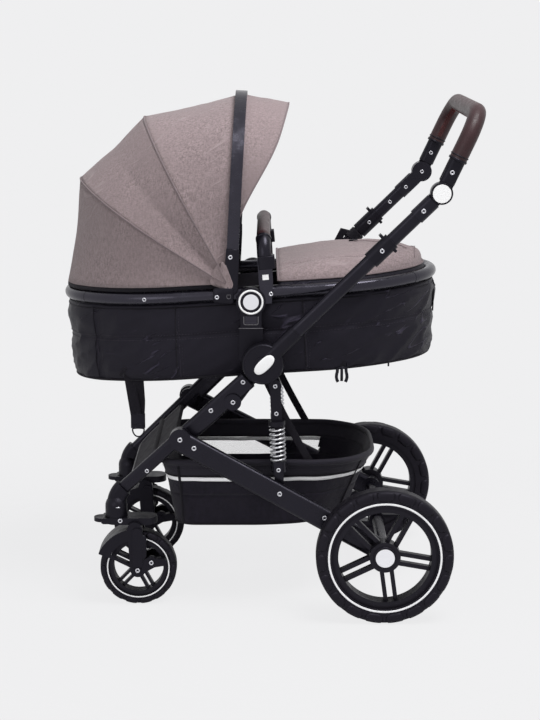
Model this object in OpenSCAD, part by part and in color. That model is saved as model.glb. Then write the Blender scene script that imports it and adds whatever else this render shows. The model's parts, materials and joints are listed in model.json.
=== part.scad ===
// Bassinet pram: a folding chassis on four wheels that carries a soft carrycot with a hood.
// Millimetres. X runs back to the handle, Y across, Z up from the floor. The pram rolls towards -X.

/* [Hinge] */
// Place of the main fold hinge along the length
hinge_x = -11.6; // [-30:1:10]
// Height of the main fold hinge above the floor
hinge_z = 550; // [535:1:565]
// Diameter of the round hinge housing
hinge_d = 87; // [82:1:92]
// Diameter of the hinge pin
hinge_pin_d = 16; // [14:0.5:18]
// Thickness of the bracket plate that carries the legs, struts and carrycot
bracket_t = 12; // [10:0.5:12]

/* [Front legs] */
// Slope of the front legs below the level
leg_angle = 43.7; // [42:0.1:46]
// Width of a front leg tube, seen from the side
leg_w = 28.5; // [26:0.5:31]
// Thickness of a front leg tube, across the pram
leg_t = 17; // [15:0.5:17]
// Distance from the middle plane to the leg's upper end
leg_top_half = 213.5; // [213:0.5:214]
// Distance along the leg from the hinge to its fold knuckle
knuckle_along = 106; // [98:1:112]
// Distance of the knuckle pin below the leg's middle line
knuckle_drop = 19; // [17:0.5:21]
// Distance along the leg from the hinge to the rear leg's pivot
rear_pivot_along = 244.7; // [236:1:252]

/* [Rear legs] */
// Width of a rear leg, seen from the side
rear_leg_w = 48; // [44:0.5:50]
// Thickness of a rear leg, across the pram
rear_leg_t = 20; // [18:0.5:21]
// Distance from the hinge back to the rear axle
rear_reach = 258; // [250:1:264]
// Distance from the middle plane to the rear leg's foot
rear_foot_half = 246; // [244:0.5:247]
// Diameter of the tube that joins the rear legs
cross_tube_d = 24; // [20:0.5:26]
// Diameter of the wheel axles' rear rod
rear_axle_d = 10; // [8:0.5:12]

/* [Suspension struts] */
// Distance of the strut's upper pin behind the hinge
strut_back = 26; // [24:0.5:28]
// Distance of the strut's upper pin below the hinge
strut_drop = 53; // [51:0.5:55]
// Distance along the rear leg from its pivot to the strut's lower pin
strut_foot_along = 241.7; // [236:0.5:246]
// Outer diameter of the coil spring
spring_d = 35; // [30:0.5:36]
// Diameter of the spring wire
spring_wire_d = 4.2; // [3:0.2:5]
// Number of curls in the spring
spring_turns = 8; // [6:1:9]
// Distance from the strut's upper pin to the spring
spring_from = 86; // [82:1:90]
// Length of the spring
spring_len = 78; // [72:1:82]
// Distance that the strut can shorten
strut_travel = 12; // [8:0.5:14]

/* [Rear wheels] */
// Diameter over the rear tyre
rear_wheel_d = 292; // [284:1:298]
// Width of the rear tyre
rear_tyre_w = 44; // [40:0.5:46]
// Distance from the middle plane to the rear wheel
rear_half_track = 288; // [287:0.5:292]
// Diameter of the rear rim where the tyre sits
rear_rim_d = 214; // [208:1:220]
// Clear diameter inside the rear rim
rear_rim_open_d = 198; // [190:1:200]
// Diameter of the rear hub
rear_hub_d = 66; // [60:1:70]
// Number of spoke pairs in a rear wheel
rear_spoke_pairs = 5; // [4:1:6]

/* [Front wheels] */
// Diameter over the front tyre
front_wheel_d = 167; // [162:1:170]
// Width of the front tyre
front_tyre_w = 36; // [34:0.5:38]
// Distance from the middle plane to the front wheel
front_half_track = 167; // [165:0.5:168]
// Diameter of the front rim where the tyre sits
front_rim_d = 122; // [118:1:126]
// Clear diameter inside the front rim
front_rim_open_d = 109; // [104:1:111]
// Diameter of the front hub
front_hub_d = 34; // [30:1:38]
// Number of spoke pairs in a front wheel
front_spoke_pairs = 5; // [4:1:6]
// Distance from the hinge forward to the caster's upright axis
caster_reach = 320; // [314:1:324]
// Distance of the wheel axle behind the caster's upright axis
caster_trail = 47; // [42:1:48]
// Diameter of the caster's upright stem
stem_d = 12; // [10:0.5:14]

/* [Handle] */
// Slope of the handle tubes above the level
handle_angle = 44.3; // [43:0.1:46]
// Distance from the middle plane to each handle tube
handle_half = 236; // [235.5:0.1:237]
// Width of a handle tube, seen from the side
handle_tube_w = 29; // [26:0.5:31]
// Thickness of a handle tube, across the pram
handle_tube_t = 19; // [16:0.5:20]
// Distance from the hinge to the grip's tilt joint
handle_len = 514; // [505:1:520]
// Length of the plastic arm at the handle's lower end
arm_len = 98; // [92:1:104]
// Distance from the tilt joint down to the fold slider
slider_back = 171; // [165:1:185]
// Length of the fold slider
slider_len = 60; // [48:1:64]
// Slope of the grip above the level
grip_angle = 65; // [62:0.5:68]
// Distance from the tilt joint to the middle of the cross grip
grip_len = 179; // [174:1:184]
// Diameter over the wrapped grip
grip_d = 37; // [34:0.5:39]
// Radius of the grip's corners, on its middle line
grip_corner_r = 62; // [55:1:70]
// Distance from the tilt joint to the start of the wrapped grip
grip_from = 74; // [70:1:78]
// Diameter of the tilt joint
tilt_joint_d = 46; // [42:1:48]

/* [Carrycot] */
// Distance of the carrycot's middle ahead of the hinge
cot_ahead = 28.5; // [22:0.5:34]
// Height of the carrycot's rail above the hinge
cot_rise = 142.4; // [140:0.2:146]
// Slope of the carrycot, foot end up
cot_tilt = 3.4; // [3:0.1:3.8]
// Half the width of the rail, on its middle line
rail_half_w = 188; // [186:0.5:188.5]
// Diameter of the rail tube
rail_d = 26; // [24:0.5:27]
// Half the length of the rail's straight sides
rail_straight = 155; // [150:1:160]
// Length of each rounded end of the rail
rail_end = 243; // [236:1:250]
// Radius at the tip of the rail's rounded ends
rail_tip_r = 150; // [140:1:158]
// Depth of the carrycot below its rail
cot_depth = 182; // [170:1:186]
// Thickness of the carrycot's padded wall
cot_wall = 6; // [4:0.5:8]
// Thickness of the mattress
mattress_t = 34; // [25:1:40]
// Diameter of the carrycot's round mount
hub_d = 62; // [58:0.5:64]

/* [Hood] */
// Distance of the hood's pivot ahead of the carrycot's middle
hood_ahead = 38; // [34:0.5:42]
// Radius of the hood's bow from its pivot, to the outside
hood_r = 402; // [394:1:408]
// Width of the bow's flat band
bow_w = 25; // [22:0.5:28]
// Thickness of the bow's flat band
bow_t = 6; // [5:0.5:6]
// Thickness of the hood's cloth
hood_cloth_t = 3; // [2:0.5:4]

/* [Bumper bar] */
// Distance of the bumper bar behind the hinge
bumper_back = 8; // [5:0.5:11]
// Height of the bumper bar above the hinge
bumper_rise = 259; // [254:1:264]
// Diameter over the wrapped bumper bar
bumper_d = 29; // [26:0.5:30]

/* [Shopping basket] */
// Height of the basket's rim above the floor
basket_rim_z = 328; // [322:1:334]
// Height of the basket's floor above the ground
basket_floor_z = 174; // [170:1:182]
// Half the width of the basket
basket_half_w = 184; // [178:1:186]
// Thickness of the basket's cloth
basket_wall = 4; // [3:0.5:5]
// Height of the basket's rim band
basket_rim_h = 12; // [10:1:14]
// How far the rim stands out from the basket's wall
basket_rim_out = 3; // [2:0.5:4]

/* [Hidden] */
$fn = 48;
// Overrun of every cut past the face that it opens
over = 1;
// Running gap between faces that turn or slide past each other
gap = 0.3;
// Step where a straight edge runs into a round end
seam = 0.01;
// Radial clearance of a pin or rod in its bore
fit = 0.05;
black = "#26262b";
tube_black = "#2c2b30";
satin_black = "#34343a";
rubber = "#3c3b40";
silver = "#c9c9cc";
white = "#f2f2f2";
taupe = "#8f8286";
leather = "#3a2a2a";
cloth_black = "#25242c";

// Plain helpers: points in the side view are [x, z] pairs
function lerp(a, b, t) = a + (b - a) * t;
function unit(v) = v / norm(v);
function at_y(p, y) = [p[0], y, p[1]];
function polar(p, angle, r) = p + r * [cos(angle), sin(angle)];

// Half of a long loop: straight sides of length s, ends of length e, a tip of radius r, half width w
function side_r(w, e, r) = (e * e + w * w - 2 * e * r) / (2 * (w - r));
function split(w, e, r) = atan2(side_r(w, e, r) - w, e - r);
function quarter_pts(w, s, e, r, n) = let (
        big = side_r(w, e, r),
        turn = split(w, e, r))
    concat([for (i = [0:n]) polar([s, w - big], 90 - i * (90 - turn) / n, big)],
        [for (i = [1:n]) polar([s + e - r, 0], turn - i * turn / n, r)]);
function mirrored(pts) = [for (i = [len(pts) - 2:-1:0]) [pts[i][0], -pts[i][1]]];
function arch_pts(w, s, e, r, n) = let (q = quarter_pts(w, s, e, r, n)) concat(q, mirrored(q));
function loop_pts(w, s, foot, head, r, n) = concat(arch_pts(w, s, foot, r, n),
    [for (p = arch_pts(w, s, head, r, n)) [-p[0], -p[1]]]);

// Faces of a skin over rings of equal length, wound outwards, with each end closed by a fan
function skin_faces(rings, n) = concat(
    [for (k = [0:rings - 2]) for (i = [0:n - 1]) [k * n + i, k * n + (i + 1) % n, (k + 1) * n + i]],
    [for (k = [0:rings - 2]) for (i = [0:n - 1])
        [k * n + (i + 1) % n, (k + 1) * n + (i + 1) % n, (k + 1) * n + i]],
    [for (i = [0:n - 1]) [rings * n, (i + 1) % n, i]],
    [for (i = [0:n - 1]) [rings * n + 1, (rings - 1) * n + i, (rings - 1) * n + (i + 1) % n]]);
function flat(rings) = [for (ring = rings) for (p = ring) p];
function middle(ring) = [for (axis = [0:2])
    (min([for (p = ring) p[axis]]) + max([for (p = ring) p[axis]])) / 2];
module skin(rings) {
    count = len(rings);
    polyhedron(concat(flat(rings), [middle(rings[0]), middle(rings[count - 1])]),
        skin_faces(count, len(rings[0])));
}
// Faces of a skin over long thin rings, each end closed by a strip between the ring's two halves
function strip_faces(rings, n) = let (last = (rings - 1) * n) concat(
    [for (f = skin_faces(rings, n)) if (max(f) < rings * n) f],
    [for (i = [0:n / 2 - 2]) [i + 1, i, n - 1 - i]], [for (i = [0:n / 2 - 2]) [i + 1, n - 1 - i, n - 2 - i]],
    [for (i = [0:n / 2 - 2]) [last + i, last + i + 1, last + n - 1 - i]],
    [for (i = [0:n / 2 - 2]) [last + i + 1, last + n - 2 - i, last + n - 1 - i]]);
module strip_skin(rings) {
    polyhedron(flat(rings), strip_faces(len(rings), len(rings[0])));
}
function level(pts, z) = [for (p = pts) [p[0], p[1], z]];

module side(s) {
    if (s < 0) mirror([0, 1, 0]) children();
    else children();
}
// A side-view outline made solid from y0 out to y1
module plate(y0, y1) {
    translate([0, y1, 0]) rotate([90, 0, 0]) linear_extrude(y1 - y0) children();
}
module pin(p, y0, y1, d) {
    plate(y0, y1) translate(p) circle(d = d);
}
module slot2d(p, q, w) {
    translate(p) circle(d = w);
    translate(q) circle(d = w);
    translate(p) rotate(atan2(q[1] - p[1], q[0] - p[0])) translate([0, seam - w / 2])
        square([norm(q - p), w - 2 * seam]);
}
// A place at p with local X towards q and local Y kept across the pram
module aim(p, q) {
    d = q - p;
    turn = atan2(d[1], norm([d[0], d[2]]));
    translate(p) rotate([0, -atan2(d[2], d[0]), 0]) rotate([0, 0, turn]) children();
}
// A profile run from p to q: its X lies across the pram, its Y in the side view
module run(p, q) {
    aim(p, q) rotate([90, 0, 90]) linear_extrude(norm(q - p)) children();
}
// A flat-sided tube section with round edges
module oval(t, w) {
    slot2d([0, (t - w) / 2], [0, (w - t) / 2], t);
}
// Part of a ring round a cross axis at p, from angle a0 to a1, y0 to y1 across, r0 to r1 out
module arc_band(p, r0, r1, y0, y1, a0, a1) {
    translate(at_y(p, 0)) rotate([90, 0, 0]) rotate([0, 0, a0]) rotate_extrude(angle = a1 - a0)
        translate([r0, -y1]) square([r1 - r0, y1 - y0]);
}

// Places in the side view
hinge = [hinge_x, hinge_z];
leg_dir = [-cos(leg_angle), -sin(leg_angle)];
leg_below = [sin(leg_angle), -cos(leg_angle)];
knuckle = hinge + knuckle_along * leg_dir + knuckle_drop * leg_below;
rear_pivot = hinge + rear_pivot_along * leg_dir;
rear_axle_at = [hinge_x + rear_reach, rear_wheel_d / 2];
rear_dir = unit(rear_axle_at - rear_pivot);
strut_top = hinge + [strut_back, -strut_drop];
strut_foot = rear_pivot + strut_foot_along * rear_dir;
strut_dir = unit(strut_foot - strut_top);
caster_x = hinge_x - caster_reach;
front_axle_at = [caster_x + caster_trail, front_wheel_d / 2];
handle_dir = [cos(handle_angle), sin(handle_angle)];
tilt_joint = hinge + handle_len * handle_dir;
grip_dir = [cos(grip_angle), sin(grip_angle)];

// Layers across the pram, from the inside out
bracket_in = 192;
bracket_out = bracket_in + bracket_t;
leg_layer_in = bracket_out + gap;
leg_layer_out = leg_layer_in + leg_t + gap;
strut_layer_out = 217;
disc_in = 226;
disc_out = 246;

// The caster's housing: a knee that turns the leg upright, then a barrel
knee_r = 55;
knee_w = 41;
knee_t = 27;
barrel_d = 48;
barrel_bottom = 198;
leg_foot_half = front_half_track;
leg_top_along = 50;
leg_foot_along = (caster_reach - knee_r * (1 - sin(leg_angle))) / cos(leg_angle);
leg_foot = hinge + leg_foot_along * leg_dir;
knee_middle = leg_foot + knee_r * leg_below;
function leg_y(along) = lerp(leg_top_half, leg_foot_half,
    (along - leg_top_along) / (leg_foot_along - leg_top_along));
leg_pivot_face = 200;

// Bracket: round plate behind the hinge, arm to the leg's knuckle, lug for the strut, post for the carrycot
post_ahead = 25;
post_w = 50;
post_top = 622;
post_round = 4;
arm_w = 31;
lug_w = 27;
knuckle_pin_d = 12;
strut_pin_d = 10;
tongue_w = 30;
tongue_t = 8;
tongue_len = 34;
tongue_mid = bracket_in + bracket_t / 2;
hub_rise = 128;
hub = [hinge_x - post_ahead, hinge_z + hub_rise];
module hinge_bracket() {
    color(black) difference() {
        union() {
            plate(bracket_in, bracket_out) {
                translate(hinge) circle(d = hinge_d - 2 * post_round);
                slot2d(hinge, knuckle, arm_w);
                slot2d(hinge, strut_top, lug_w);
                translate([hub[0] - post_w / 2, hinge_z]) square([post_w, post_top - hinge_z]);
            }
            pin(hinge, bracket_in, disc_out - post_round, hinge_pin_d);
            pin(knuckle, bracket_in, leg_layer_out - gap, knuckle_pin_d);
            pin(strut_top, bracket_in, strut_layer_out, strut_pin_d);
        }
        translate([hub[0], tongue_mid, post_top - tongue_len])
            linear_extrude(tongue_len + over)
                square([tongue_w + 2 * gap, tongue_t + 2 * gap], center = true);
    }
}

// Front leg: an oval tube with an eye at the fold knuckle and a boss for the rear leg
knuckle_eye_d = 35;
pivot_boss_d = 40;
pivot_pin_d = 10;
rear_boss_t = 22;
sleeve_along = 222;
leg_sleeve_drop = 6;
module front_leg() {
    from = at_y(hinge + leg_top_along * leg_dir, leg_y(leg_top_along));
    to = at_y(leg_foot, leg_foot_half);
    color(tube_black) difference() {
        union() {
            difference() {
                union() {
                    run(from, to + unit(to - from) * knee_t) oval(leg_t, leg_w);
                    run(from, at_y(hinge + sleeve_along * leg_dir, leg_y(sleeve_along)))
                        translate([0, leg_sleeve_drop]) oval(leg_t, leg_w + 2 * leg_sleeve_drop);
                }
                pin(rear_pivot, leg_pivot_face, disc_out, rear_boss_d + 2 * gap);
            }
            pin(knuckle, leg_layer_in, leg_layer_out - gap, knuckle_eye_d);
            pin(rear_pivot, leg_pivot_face - leg_t, leg_pivot_face, pivot_boss_d);
            pin(rear_pivot, leg_pivot_face, leg_pivot_face + rear_boss_t, pivot_pin_d);
        }
        pin(knuckle, bracket_in, disc_out, knuckle_pin_d + 2 * fit);
        plate(0, disc_out) translate(leg_foot) rotate(180 + leg_angle)
            translate([0, -knee_w]) square([2 * knee_w, 2 * knee_w]);
        plate(0, leg_layer_in) translate(hinge) rotate(180 + leg_angle)
            translate([0, -knee_w]) square([knuckle_along + knuckle_eye_d / 2, 2 * knee_w]);
    }
}

// Caster housing: the knee below the front leg and the barrel that holds the caster's stem
stem_len = 30;
knee_end_z = knee_middle[1];
module caster_housing() {
    color(black) translate([0, front_half_track, 0]) difference() {
        union() {
            translate(at_y(knee_middle, 0)) rotate([90, 0, 0]) rotate([0, 0, 90 + leg_angle])
                rotate_extrude(angle = 90 - leg_angle) translate([knee_r, 0]) rotate(90) oval(knee_t, knee_w);
            translate([caster_x, 0, barrel_bottom]) rotate_extrude() intersection() {
                union() {
                    square([barrel_d / 2, knee_end_z - barrel_bottom]);
                    translate([0, knee_end_z - barrel_bottom]) circle(d = barrel_d);
                }
                square([barrel_d, 2 * barrel_d + knee_end_z]);
            }
        }
        translate([caster_x, 0, barrel_bottom - over]) cylinder(d = stem_d + 2 * fit, h = stem_len + over);
        plate(-barrel_d, barrel_d) translate(leg_foot) rotate(leg_angle)
            translate([0, -knee_w]) square([2 * knee_w, 2 * knee_w]);
    }
}

// Footboard: a flat panel with round lower corners on the tube that joins the front legs
board_from = 262;
board_to = 398;
board_t = 9;
board_corner = 46;
board_half = 150;
board_tube_d = 20;
board_tube_along = (hinge_z - basket_rim_z + basket_rim_h / 4) / sin(leg_angle);
leg_spread = atan2(leg_top_half - leg_foot_half, leg_foot_along - leg_top_along);
board_tube_half = leg_y(board_tube_along) - leg_t / 2 / cos(leg_spread) - board_tube_d / 2 * tan(leg_spread);
module footboard() {
    long = board_to - board_from;
    color(satin_black) {
        translate(at_y(hinge, 0)) rotate([0, 180 - leg_angle, 0]) mirror([0, 0, 1])
            translate([board_from, 0, -board_t / 2]) linear_extrude(board_t) {
                translate([0, -board_half]) square([long - board_corner, 2 * board_half]);
                translate([0, board_corner - board_half]) square([long, 2 * (board_half - board_corner)]);
                for (s = [-1, 1])
                    translate([long - board_corner, s * (board_half - board_corner)]) circle(r = board_corner);
            }
        pin(hinge + board_tube_along * leg_dir, -board_tube_half, board_tube_half, board_tube_d);
    }
}

// Rear leg: an oval bar that spreads outwards from its pivot to the axle
rear_pivot_in = leg_pivot_face + gap;
rear_top_half = rear_pivot_in + rear_boss_t / 2;
rear_boss_d = 46;
rear_leg_drop = 4;
strut_boss_d = 22;
axle_boss_in = 234;
axle_boss_out = 261;
module rear_leg() {
    color(tube_black) difference() {
        union() {
            run(at_y(rear_pivot, rear_top_half), at_y(rear_axle_at, rear_foot_half))
                translate([0, -rear_leg_drop]) oval(rear_leg_t, rear_leg_w);
            pin(rear_pivot, rear_pivot_in, rear_pivot_in + rear_boss_t, rear_boss_d);
            pin(rear_axle_at, axle_boss_in, axle_boss_out, rear_boss_d);
            pin(strut_foot, strut_foot_out + gap, rear_foot_half - rear_leg_t, strut_boss_d);
        }
        pin(rear_pivot, 0, disc_out, pivot_pin_d + 2 * fit);
        pin(rear_axle_at, 0, rear_half_track, rear_axle_d);
        plate(0, rear_pivot_in) translate(rear_pivot) circle(d = rear_boss_d + rear_leg_w);
    }
}

// Rear axle: the rod through both wheels and the tube that joins the legs
wheel_cap_t = 5;
axle_end = rear_half_track + rear_tyre_w / 2 - wheel_cap_t;
module rear_axle() {
    color(satin_black) {
        pin(rear_axle_at, -axle_boss_in, axle_boss_in, cross_tube_d);
        pin(rear_axle_at, -axle_end, axle_end, rear_axle_d);
    }
}

// Brake pedal: a collar on the cross tube with a foot plate behind it
pedal_half = 34;
pedal_wall = 6;
pedal_reach = 78;
pedal_t = 8;
module brake_pedal() {
    color(black) difference() {
        union() {
            pin(rear_axle_at, -pedal_half, pedal_half, cross_tube_d + 2 * pedal_wall);
            translate([rear_axle_at[0] + cross_tube_d / 2, 0, rear_axle_at[1] + cross_tube_d / 2 - pedal_t])
                linear_extrude(pedal_t) {
                    translate([0, -pedal_half]) square([pedal_reach - pedal_half, 2 * pedal_half]);
                    translate([pedal_reach - pedal_half, 0]) circle(r = pedal_half);
                }
        }
        pin(rear_axle_at, -pedal_half - over, pedal_half + over, cross_tube_d + 2 * fit);
    }
}

// Suspension strut: tube above, rod with a cup below, coil spring between
strut_y = (leg_layer_in + strut_layer_out) / 2;
strut_eye_d = 27;
strut_tube_w = 23;
strut_rod_d = 10;
flange_t = 5;
cup_len = 24;
tang_trim = 2.5;
strut_foot_out = strut_layer_out - tang_trim;
cup_d = 34;
strut_foot_eye_d = 26;
strut_tang_w = 20;
function on_strut(along) = at_y(strut_top + along * strut_dir, strut_y);
cup_at = spring_from + spring_len;
module strut_tube() {
    color(black) difference() {
        union() {
            pin(strut_top, leg_layer_in, strut_layer_out - gap, strut_eye_d);
            plate(leg_layer_in, strut_layer_out - gap)
                slot2d(strut_top, strut_top + (spring_from - strut_tube_w / 2 - over) * strut_dir,
                    strut_tube_w);
            run(on_strut(spring_from - 2 * flange_t), on_strut(spring_from)) circle(d = spring_d + over);
        }
        pin(strut_top, bracket_in, disc_in, strut_pin_d + 2 * fit);
        run(on_strut(strut_eye_d), on_strut(spring_from + over)) circle(d = strut_rod_d + 2 * fit);
    }
}
module strut_rod() {
    color(satin_black) {
        run(on_strut(spring_from - strut_rod_d), on_strut(cup_at + cup_len)) circle(d = strut_rod_d);
        run(on_strut(cup_at), on_strut(cup_at + cup_len)) circle(d = cup_d);
        plate(leg_layer_in, strut_foot_out)
            slot2d(strut_top + (cup_at + cup_len / 2) * strut_dir, strut_foot, strut_tang_w);
        pin(strut_foot, leg_layer_in, strut_foot_out, strut_foot_eye_d);
    }
}
// Coil spring: one tube round the rod, its least gap to itself measured between neighbouring curls
curl_rings = 8;
wire_sides = 6;
spring_r = (spring_d - spring_wire_d) / 2;
spring_run = spring_len - spring_wire_d - 2 * gap;
function curl(t) = [spring_r * cos(360 * spring_turns * t), spring_r * sin(360 * spring_turns * t),
    spring_run * t];
function curl_way(t) = unit([-spring_r * sin(360 * spring_turns * t) * 2 * PI * spring_turns,
    spring_r * cos(360 * spring_turns * t) * 2 * PI * spring_turns, spring_run]);
function curl_out(t) = [cos(360 * spring_turns * t), sin(360 * spring_turns * t), 0];
function curl_ring(t) = let (up = cross(curl_way(t), curl_out(t)))
    [for (i = [0:wire_sides - 1]) curl(t) + spring_wire_d / 2
        * (curl_out(t) * cos(-360 * i / wire_sides) + up * sin(-360 * i / wire_sides))];
spring_rings = spring_turns * curl_rings;
spring_gap = min([for (i = [0:spring_rings - curl_rings]) for (j = [i + curl_rings / 2:spring_rings])
    norm(curl(i / spring_rings) - curl(j / spring_rings))]) - spring_wire_d;
echo(least_spring_gap = spring_gap);
module spring() {
    color(silver) aim(on_strut(spring_from), on_strut(cup_at)) rotate([0, 90, 0])
        translate([0, 0, spring_wire_d / 2 + gap])
            skin([for (i = [0:spring_rings]) curl_ring(i / spring_rings)]);
}

// Wheel: a rim with a deep lip, spokes in pairs and a bored hub
rim_lip = 5;
spoke_w = 9;
spoke_apart = 21;
spoke_t = 14;
module wheel_place(p, half) {
    translate(at_y(p, half)) rotate([-90, 0, 0]) children();
}
module rim(rim_d, open_d, hub_d, width, hub_w, bore_d, pairs, turn, apart, spoke) {
    difference() {
        union() {
            rotate_extrude() {
                translate([open_d / 2, -width / 2 + rim_lip])
                    square([(rim_d - open_d) / 2, width - 2 * rim_lip]);
                translate([0, -hub_w / 2]) square([hub_d / 2, hub_w]);
            }
            for (i = [0:pairs - 1]) rotate(turn + 360 / pairs * i) for (s = [-1, 1])
                translate([0, s * apart / 2 - spoke / 2, -spoke_t / 2])
                    cube([(open_d + rim_d) / 4, spoke, spoke_t]);
        }
        cylinder(d = bore_d, h = 2 * hub_w, center = true);
    }
}
// Tyre: a round tread with flat sidewalls on the rim
module tyre(wheel_d, rim_d, width) {
    deep = (wheel_d - rim_d) / 2;
    shoulder = width / 4;
    rotate_extrude($fn = 96) difference() {
        union() {
            translate([rim_d / 2, -width / 2 + rim_lip]) square([deep - shoulder, width - 2 * rim_lip]);
            translate([rim_d / 2 + shoulder / 2, -width / 2]) square([deep - 3 * shoulder / 2, width]);
            translate([rim_d / 2, -width / 2 + shoulder]) square([deep, width - 2 * shoulder]);
            for (s = [-1, 1])
                translate([wheel_d / 2 - shoulder, s * (width / 2 - shoulder)]) circle(r = shoulder);
        }
        translate([rim_d / 2 - deep, -width]) square([deep, 2 * width]);
    }
}
rear_spoke_turn = 82;
rear_hub_w = 34;
module rear_rim() {
    color(satin_black) wheel_place(rear_axle_at, rear_half_track)
        rim(rear_rim_d, rear_rim_open_d, rear_hub_d, rear_tyre_w, rear_hub_w, rear_axle_d + 2 * fit,
            rear_spoke_pairs, rear_spoke_turn, spoke_apart, spoke_w);
}
module rear_tyre() {
    color(rubber) wheel_place(rear_axle_at, rear_half_track) tyre(rear_wheel_d, rear_rim_d, rear_tyre_w);
}
hub_cap_d = 40;
module rear_hub_cap() {
    color(silver) wheel_place(rear_axle_at, rear_half_track) translate([0, 0, rear_hub_w / 2]) {
        difference() {
            cylinder(d = hub_cap_d, h = wheel_cap_t);
            translate([0, 0, -over]) cylinder(d = rear_axle_d + 2 * gap, h = wheel_cap_t + over - gap * 2);
        }
    }
}
front_axle_d = 8;
front_hub_w = 38;
front_spoke_turn = 62;
front_spoke_w = 6;
front_spoke_apart = 13;
module front_rim() {
    color(satin_black) wheel_place(front_axle_at, front_half_track)
        rim(front_rim_d, front_rim_open_d, front_hub_d, front_tyre_w, front_hub_w, front_axle_d + 2 * fit,
            front_spoke_pairs, front_spoke_turn, front_spoke_apart, front_spoke_w);
}
module front_tyre() {
    color(rubber) wheel_place(front_axle_at, front_half_track) tyre(front_wheel_d, front_rim_d, front_tyre_w);
}

// Caster fork: crown and stem, two legs beside the wheel, mudguard and the short suspension arms
fork_gap = 3;
fork_leg_t = 12;
fork_in = front_hub_w / 2 + fork_gap;
fork_out = fork_in + fork_leg_t;
fork_leg_w = 33;
crown_top = barrel_bottom - gap;
crown_t = 15;
crown_w = 50;
guard_gap = 5;
guard_t = 4;
guard_deep = 25;
guard_skin = 3;
guard_half = fork_out - gap;
guard_from = 84;
guard_to = 157;
stay_turn = 4;
cover_w = 22;
cover_t = 3;
arm_back = 30;
arm_up = 17;
fork_arm_w = 26;
stub_w = 15;
bolt_d = 15;
small_bolt_share = 0.7;
ear_t = 5;
lock_pin_d = 5;
lock_half = 17;
lock_ahead = 26;
lock_pin = [caster_x - lock_ahead, crown_top - crown_t / 2];
guard_in = front_wheel_d / 2 + guard_gap;
guard_tip = polar(front_axle_at, guard_to - stay_turn, guard_in - guard_deep / 3);
arm_bolt = front_axle_at + [arm_back, arm_up];
fork_shoulder = [front_axle_at[0] - fork_leg_w / 6, crown_top - crown_t - fork_leg_w / 4];
module both_sides(y0, y1) {
    plate(y0, y1) children();
    plate(-y1, -y0) children();
}
module caster_fork() {
    color(black) translate([0, front_half_track, 0]) difference() {
        union() {
            translate([0, 0, crown_top - crown_t]) linear_extrude(crown_t)
                slot2d([caster_x, 0], [front_axle_at[0] + crown_w / 3, 0], crown_w);
            translate([caster_x, 0, crown_top - crown_t]) cylinder(d = stem_d, h = crown_t + stem_len - over);
            both_sides(fork_in, fork_out) {
                slot2d(front_axle_at, fork_shoulder, fork_leg_w);
                slot2d(front_axle_at, arm_bolt, fork_arm_w);
                slot2d(arm_bolt, arm_bolt + [fork_arm_w, 0], stub_w);
            }
            both_sides(fork_out, fork_out + cover_t)
                slot2d(front_axle_at + [0, bolt_d], [front_axle_at[0], crown_top - 2 * crown_t], cover_w);
            both_sides(fork_out - over, fork_out + cover_t + over) {
                translate(front_axle_at) circle(d = bolt_d);
                translate(arm_bolt) circle(d = bolt_d * small_bolt_share);
            }
            arc_band(front_axle_at, guard_in, guard_in + guard_t, -guard_half, guard_half,
                guard_from, guard_to);
            for (s = [-1, 1]) side(s) {
                arc_band(front_axle_at, guard_in + guard_t - guard_deep, guard_in + guard_t,
                    guard_half - guard_skin, guard_half, guard_from, guard_to);
                plate(guard_half - guard_skin + gap, guard_half - gap)
                    slot2d(guard_tip, front_axle_at, 2 * guard_skin);
            }
            both_sides(lock_half + gap, lock_half + gap + ear_t)
                slot2d(lock_pin, lock_pin + [crown_t, 0], crown_t - 2 * over);
            pin(lock_pin, -lock_half - ear_t, lock_half + ear_t, lock_pin_d);
            pin(front_axle_at, -fork_out, fork_out, front_axle_d);
        }
        translate([lock_pin[0] - crown_w / 2, -lock_half - gap, crown_top - crown_t - over])
            difference() {
                cube([crown_w / 2 + crown_t / 2 + gap, 2 * (lock_half + gap), crown_t + 2 * over]);
                translate([crown_w / 2, lock_half + gap, crown_t / 2 + over]) rotate([90, 0, 0])
                    cylinder(d = lock_pin_d, h = crown_w, center = true);
            }
    }
}
// Swivel lock: a toe lever that turns on a pin between the crown's ears
lock_reach = 6;
module caster_lock() {
    color(satin_black) translate([0, front_half_track, 0]) difference() {
        union() {
            pin(lock_pin, -lock_half, lock_half, crown_t - 2 * over);
            translate([lock_pin[0] - lock_reach, 0, lock_pin[1] - crown_t / 4])
                linear_extrude(crown_t / 2 + over) {
                difference() {
                    circle(r = lock_half);
                    translate([lock_reach, -lock_half]) square([lock_half, 2 * lock_half]);
                }
            }
        }
        pin(lock_pin, -crown_w, crown_w, lock_pin_d + 2 * fit);
    }
}

// Handle arm: the hinge housing with the plastic arm across it
arm_t = 24;
handle_arm_w = 33;
disc_round = 5;
function on_handle(along) = at_y(hinge + along * handle_dir, handle_half);
module handle_arm() {
    color(black) difference() {
        union() {
            translate(at_y(hinge, disc_in)) rotate([-90, 0, 0]) rotate_extrude() {
                square([hinge_d / 2 - disc_round, disc_out - disc_in]);
                square([hinge_d / 2, disc_out - disc_in - disc_round]);
                translate([hinge_d / 2 - disc_round, disc_out - disc_in - disc_round]) circle(r = disc_round);
            }
            run(on_handle(0), on_handle(arm_len)) oval(arm_t, handle_arm_w);
            plate(handle_half, handle_half + arm_t / 2) translate(hinge) circle(d = handle_arm_w);
        }
        pin(hinge, bracket_in, disc_out - post_round + gap, hinge_pin_d + 2 * fit);
        plate(bracket_in, disc_in) translate(hinge) circle(d = hinge_d);
    }
}

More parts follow.
